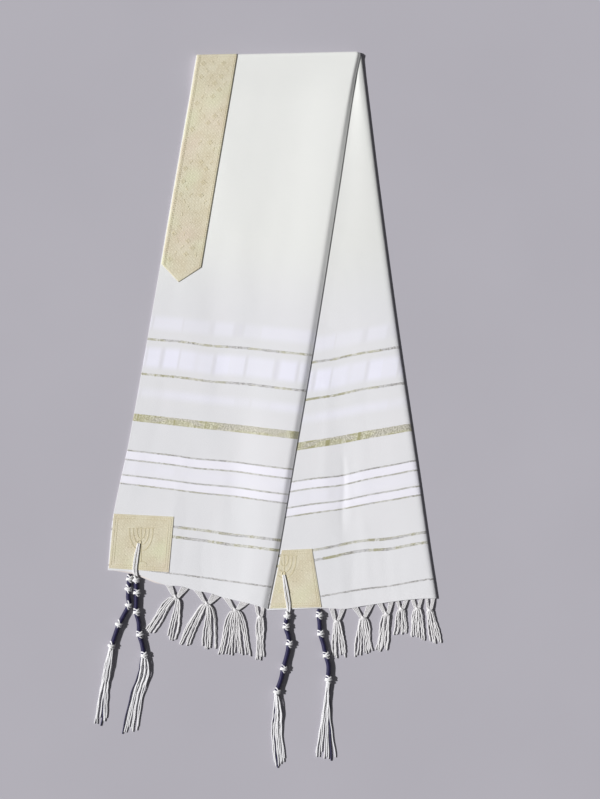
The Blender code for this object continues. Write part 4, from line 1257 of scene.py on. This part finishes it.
def brocade_material():
    """Cream damask: small diamonds with a rosette in each, tone on tone, with bright flecks of
    painted glint and dark specks, both denser in patches.
    """
    surface = Surface("brocade_band", 0.25, 0.35)
    across, along = surface.split("cut")
    place = surface.combine(across, along)
    size = 11 * MM
    first = surface.math("FRACT", (across + along) / size) - 0.5
    second = surface.math("FRACT", (across - along) / size) - 0.5
    out = surface.math("SQRT", first * first + second * second)
    petals = surface.math("COSINE", surface.math("ARCTAN2", second, first) * 4.0) * 0.07 + 0.2
    flower = surface.ramp(out - petals, 0.03, -0.03)
    lattice = surface.ramp(surface.most(abs(first), abs(second)), 0.44, 0.48)
    figure = surface.most(flower, lattice)
    ground = surface.ramp(surface.noise(place, 34.0, 4.0, 0.6), 0.3, 0.7)
    rosy = surface.ramp(surface.noise(place, 9.0, 2.0), 0.45, 0.75)
    green = surface.ramp(surface.noise(place, 13.0, 1.0), 0.47, 0.66)
    # Patches where the dark specks and the bright specks, which are painted glints, gather.
    patchy = surface.ramp(surface.noise(place, 45.0, 2.0), 0.42, 0.62)
    glint = surface.ramp(surface.noise(place, 470.0, 2.0), 0.60, 0.70)
    dark = surface.ramp(surface.noise(place, 430.0, 2.0), 0.42, 0.32)
    base = surface.tinted(
        (207, 196, 168), (ground, (219, 212, 188)), (rosy, (218, 201, 182)),
        (green * 0.85, (215, 214, 182)), (figure * 0.5, (229, 221, 199)),
        (glint * (patchy * 0.6 + 0.25), (244, 238, 214)),
        (dark * (patchy * 0.4 + 0.15), (158, 146, 112)))
    surface.set("Base Color", base)
    surface.set("Roughness", figure * -0.18 + 0.62)
    rib = surface.sine(along * (2 * pi / (1.0 * MM)))
    height = rib * 0.25 + surface.noise(place, 480.0)
    surface.bump(figure * 0.9 + height, 0.3 * MM, 0.6)
    return surface.material


def thread_material(name, first, second, roughness, ply):
    """Twisted yarn: the uv runs along the thread in metres and once round it. The twist's grooves
    take a darker copy of the first colour, painted shade, and its ridges the lighter second colour, a
    painted highlight.
    """
    surface = Surface(name)
    along, around = surface.split("")
    wave = surface.sine((along / ply + around * 2.0) * (2 * pi))
    spots = surface.noise(surface.place(), 160.0)
    # Painted shade in the grooves of the twist and a painted highlight on its ridges.
    groove_shade = tuple(value * 0.91 for value in first)
    ply_shading = surface.mix(surface.ramp(wave, -1.0, -0.3), groove_shade, second)
    surface.set("Base Color", surface.mix(spots * 0.8, ply_shading, first))
    surface.set("Roughness", roughness)
    surface.bump(wave * 0.5 + spots, 0.3 * MM, 0.22)
    return surface.material


def floor_material():
    surface = Surface("matte_floor", 0.0)
    mottled = surface.noise(surface.place(), 3.0)
    surface.set("Base Color", surface.mix(mottled, (172, 169, 177), (180, 177, 185)))
    surface.set("Roughness", 0.85)
    return surface.material


def sun_light():
    """Parallel light, with an azimuth of 0 for +X and 90 for +Y."""
    data = bpy.data.lights.new("key", "SUN")
    data.energy = SUN_STRENGTH
    data.angle = radians(SUN_SOFTNESS)
    light = bpy.data.objects.new("key", data)
    azimuth, elevation = radians(SUN_AZIMUTH), radians(SUN_ELEVATION)
    flat = cos(elevation)
    towards = Vector((flat * cos(azimuth), flat * sin(azimuth), sin(elevation)))
    light.rotation_mode = "QUATERNION"
    light.rotation_quaternion = (-towards).to_track_quat("-Z", "Y")
    bpy.context.scene.collection.objects.link(light)


front_wool = cloth_material("woven_wool_front", 0, 0.25)
# The back leg's cloth carries painted shade: its plain upper part is 8 levels darker than the
# front's.
back_wool = cloth_material("woven_wool_back", 8, 1.0)
under_wool = plain_cloth_material("under_wool", (224, 217, 217), (234, 226, 222))
brocade = brocade_material()
yarn = thread_material("fringe_yarn", (212, 210, 211), (222, 220, 221), 0.8, 4.0 * MM)
tassel_yarn = thread_material("tassel_yarn", (216, 215, 217), (228, 227, 229), 0.8, 4.0 * MM)
# A lighter copy of the tassel yarn for the knots and loops, the same white string: painted light.
lit_yarn = thread_material("lit_yarn", (226, 225, 226), (240, 239, 240), 0.75, 4.0 * MM)
navy = thread_material("navy_windings", (14, 11, 42), (38, 31, 88), 0.5, 1.5 * MM)
sewing = thread_material("cream_sewing", (196, 184, 146), (222, 213, 182), 0.6, 1.6 * MM)

# Cloth and trims
front = sheet_object("front_cloth", *front_sheet(), front_wool, CLOTH, -1.0)
own(front, "cloth", "front_leg")
back = sheet_object("back_cloth", *back_sheet(), back_wool, CLOTH, -1.0)
own(back, "cloth", "back_leg")
own(layered_solid("under_layers", *hidden_rows(), under_wool), "under_cloth", "hidden_layers")
band_rows, band_cut = band_points()
band = sheet_object("neckband", band_rows, band_cut, brocade, TRIM, 1.0)
own(band, "brocade", "atarah")
for leg, label in enumerate(LEGS):
    patch = sheet_object("patch_" + label, *patch_points(leg), brocade, TRIM, 1.0)
    own(patch, "brocade", "corner_patch_" + label)
for leg, label in enumerate(LEGS):
    embroidery(f"patch_{label}_stitching", leg)
band_sewing(band_rows, band_cut)

# Fringe and corner tassels
for leg, label in enumerate(LEGS):
    for number, bundle in enumerate(BUNDLES[leg], 1):
        fringe_bundle("fringe_" + label, bundle, leg, number)
for tassel_name, (cord, points, widths, dark_place) in TZITZIYOT.items():
    wound_cord(tassel_name, cord)
    tassel(tassel_name, cord, points, widths, dark_place)
for leg, label in enumerate(LEGS):
    loop("loop_" + label, leg)

# Floor, light and camera
floor_mesh = bmesh.new()
bmesh.ops.create_grid(floor_mesh, x_segments=2, y_segments=2, size=6.0)
mesh_object("floor", floor_mesh, floor_material())
sun_light()
world = bpy.data.worlds.new("studio")
world.use_nodes = True
world.node_tree.nodes["Background"].inputs[0].default_value = SKY_COLOUR
world.node_tree.nodes["Background"].inputs[1].default_value = SKY_STRENGTH
bpy.context.scene.world = world
bpy.context.scene.view_settings.view_transform = "Standard"

camera_data = bpy.data.cameras.new("camera")
camera_data.lens = LENS
camera_data.sensor_width = SENSOR
camera = bpy.data.objects.new("camera", camera_data)
camera.location = (*VIEW_CENTRE, VIEW_HEIGHT * LENS / SENSOR)
camera.rotation_euler = (0, 0, 0)
bpy.context.scene.collection.objects.link(camera)
bpy.context.scene.camera = camera
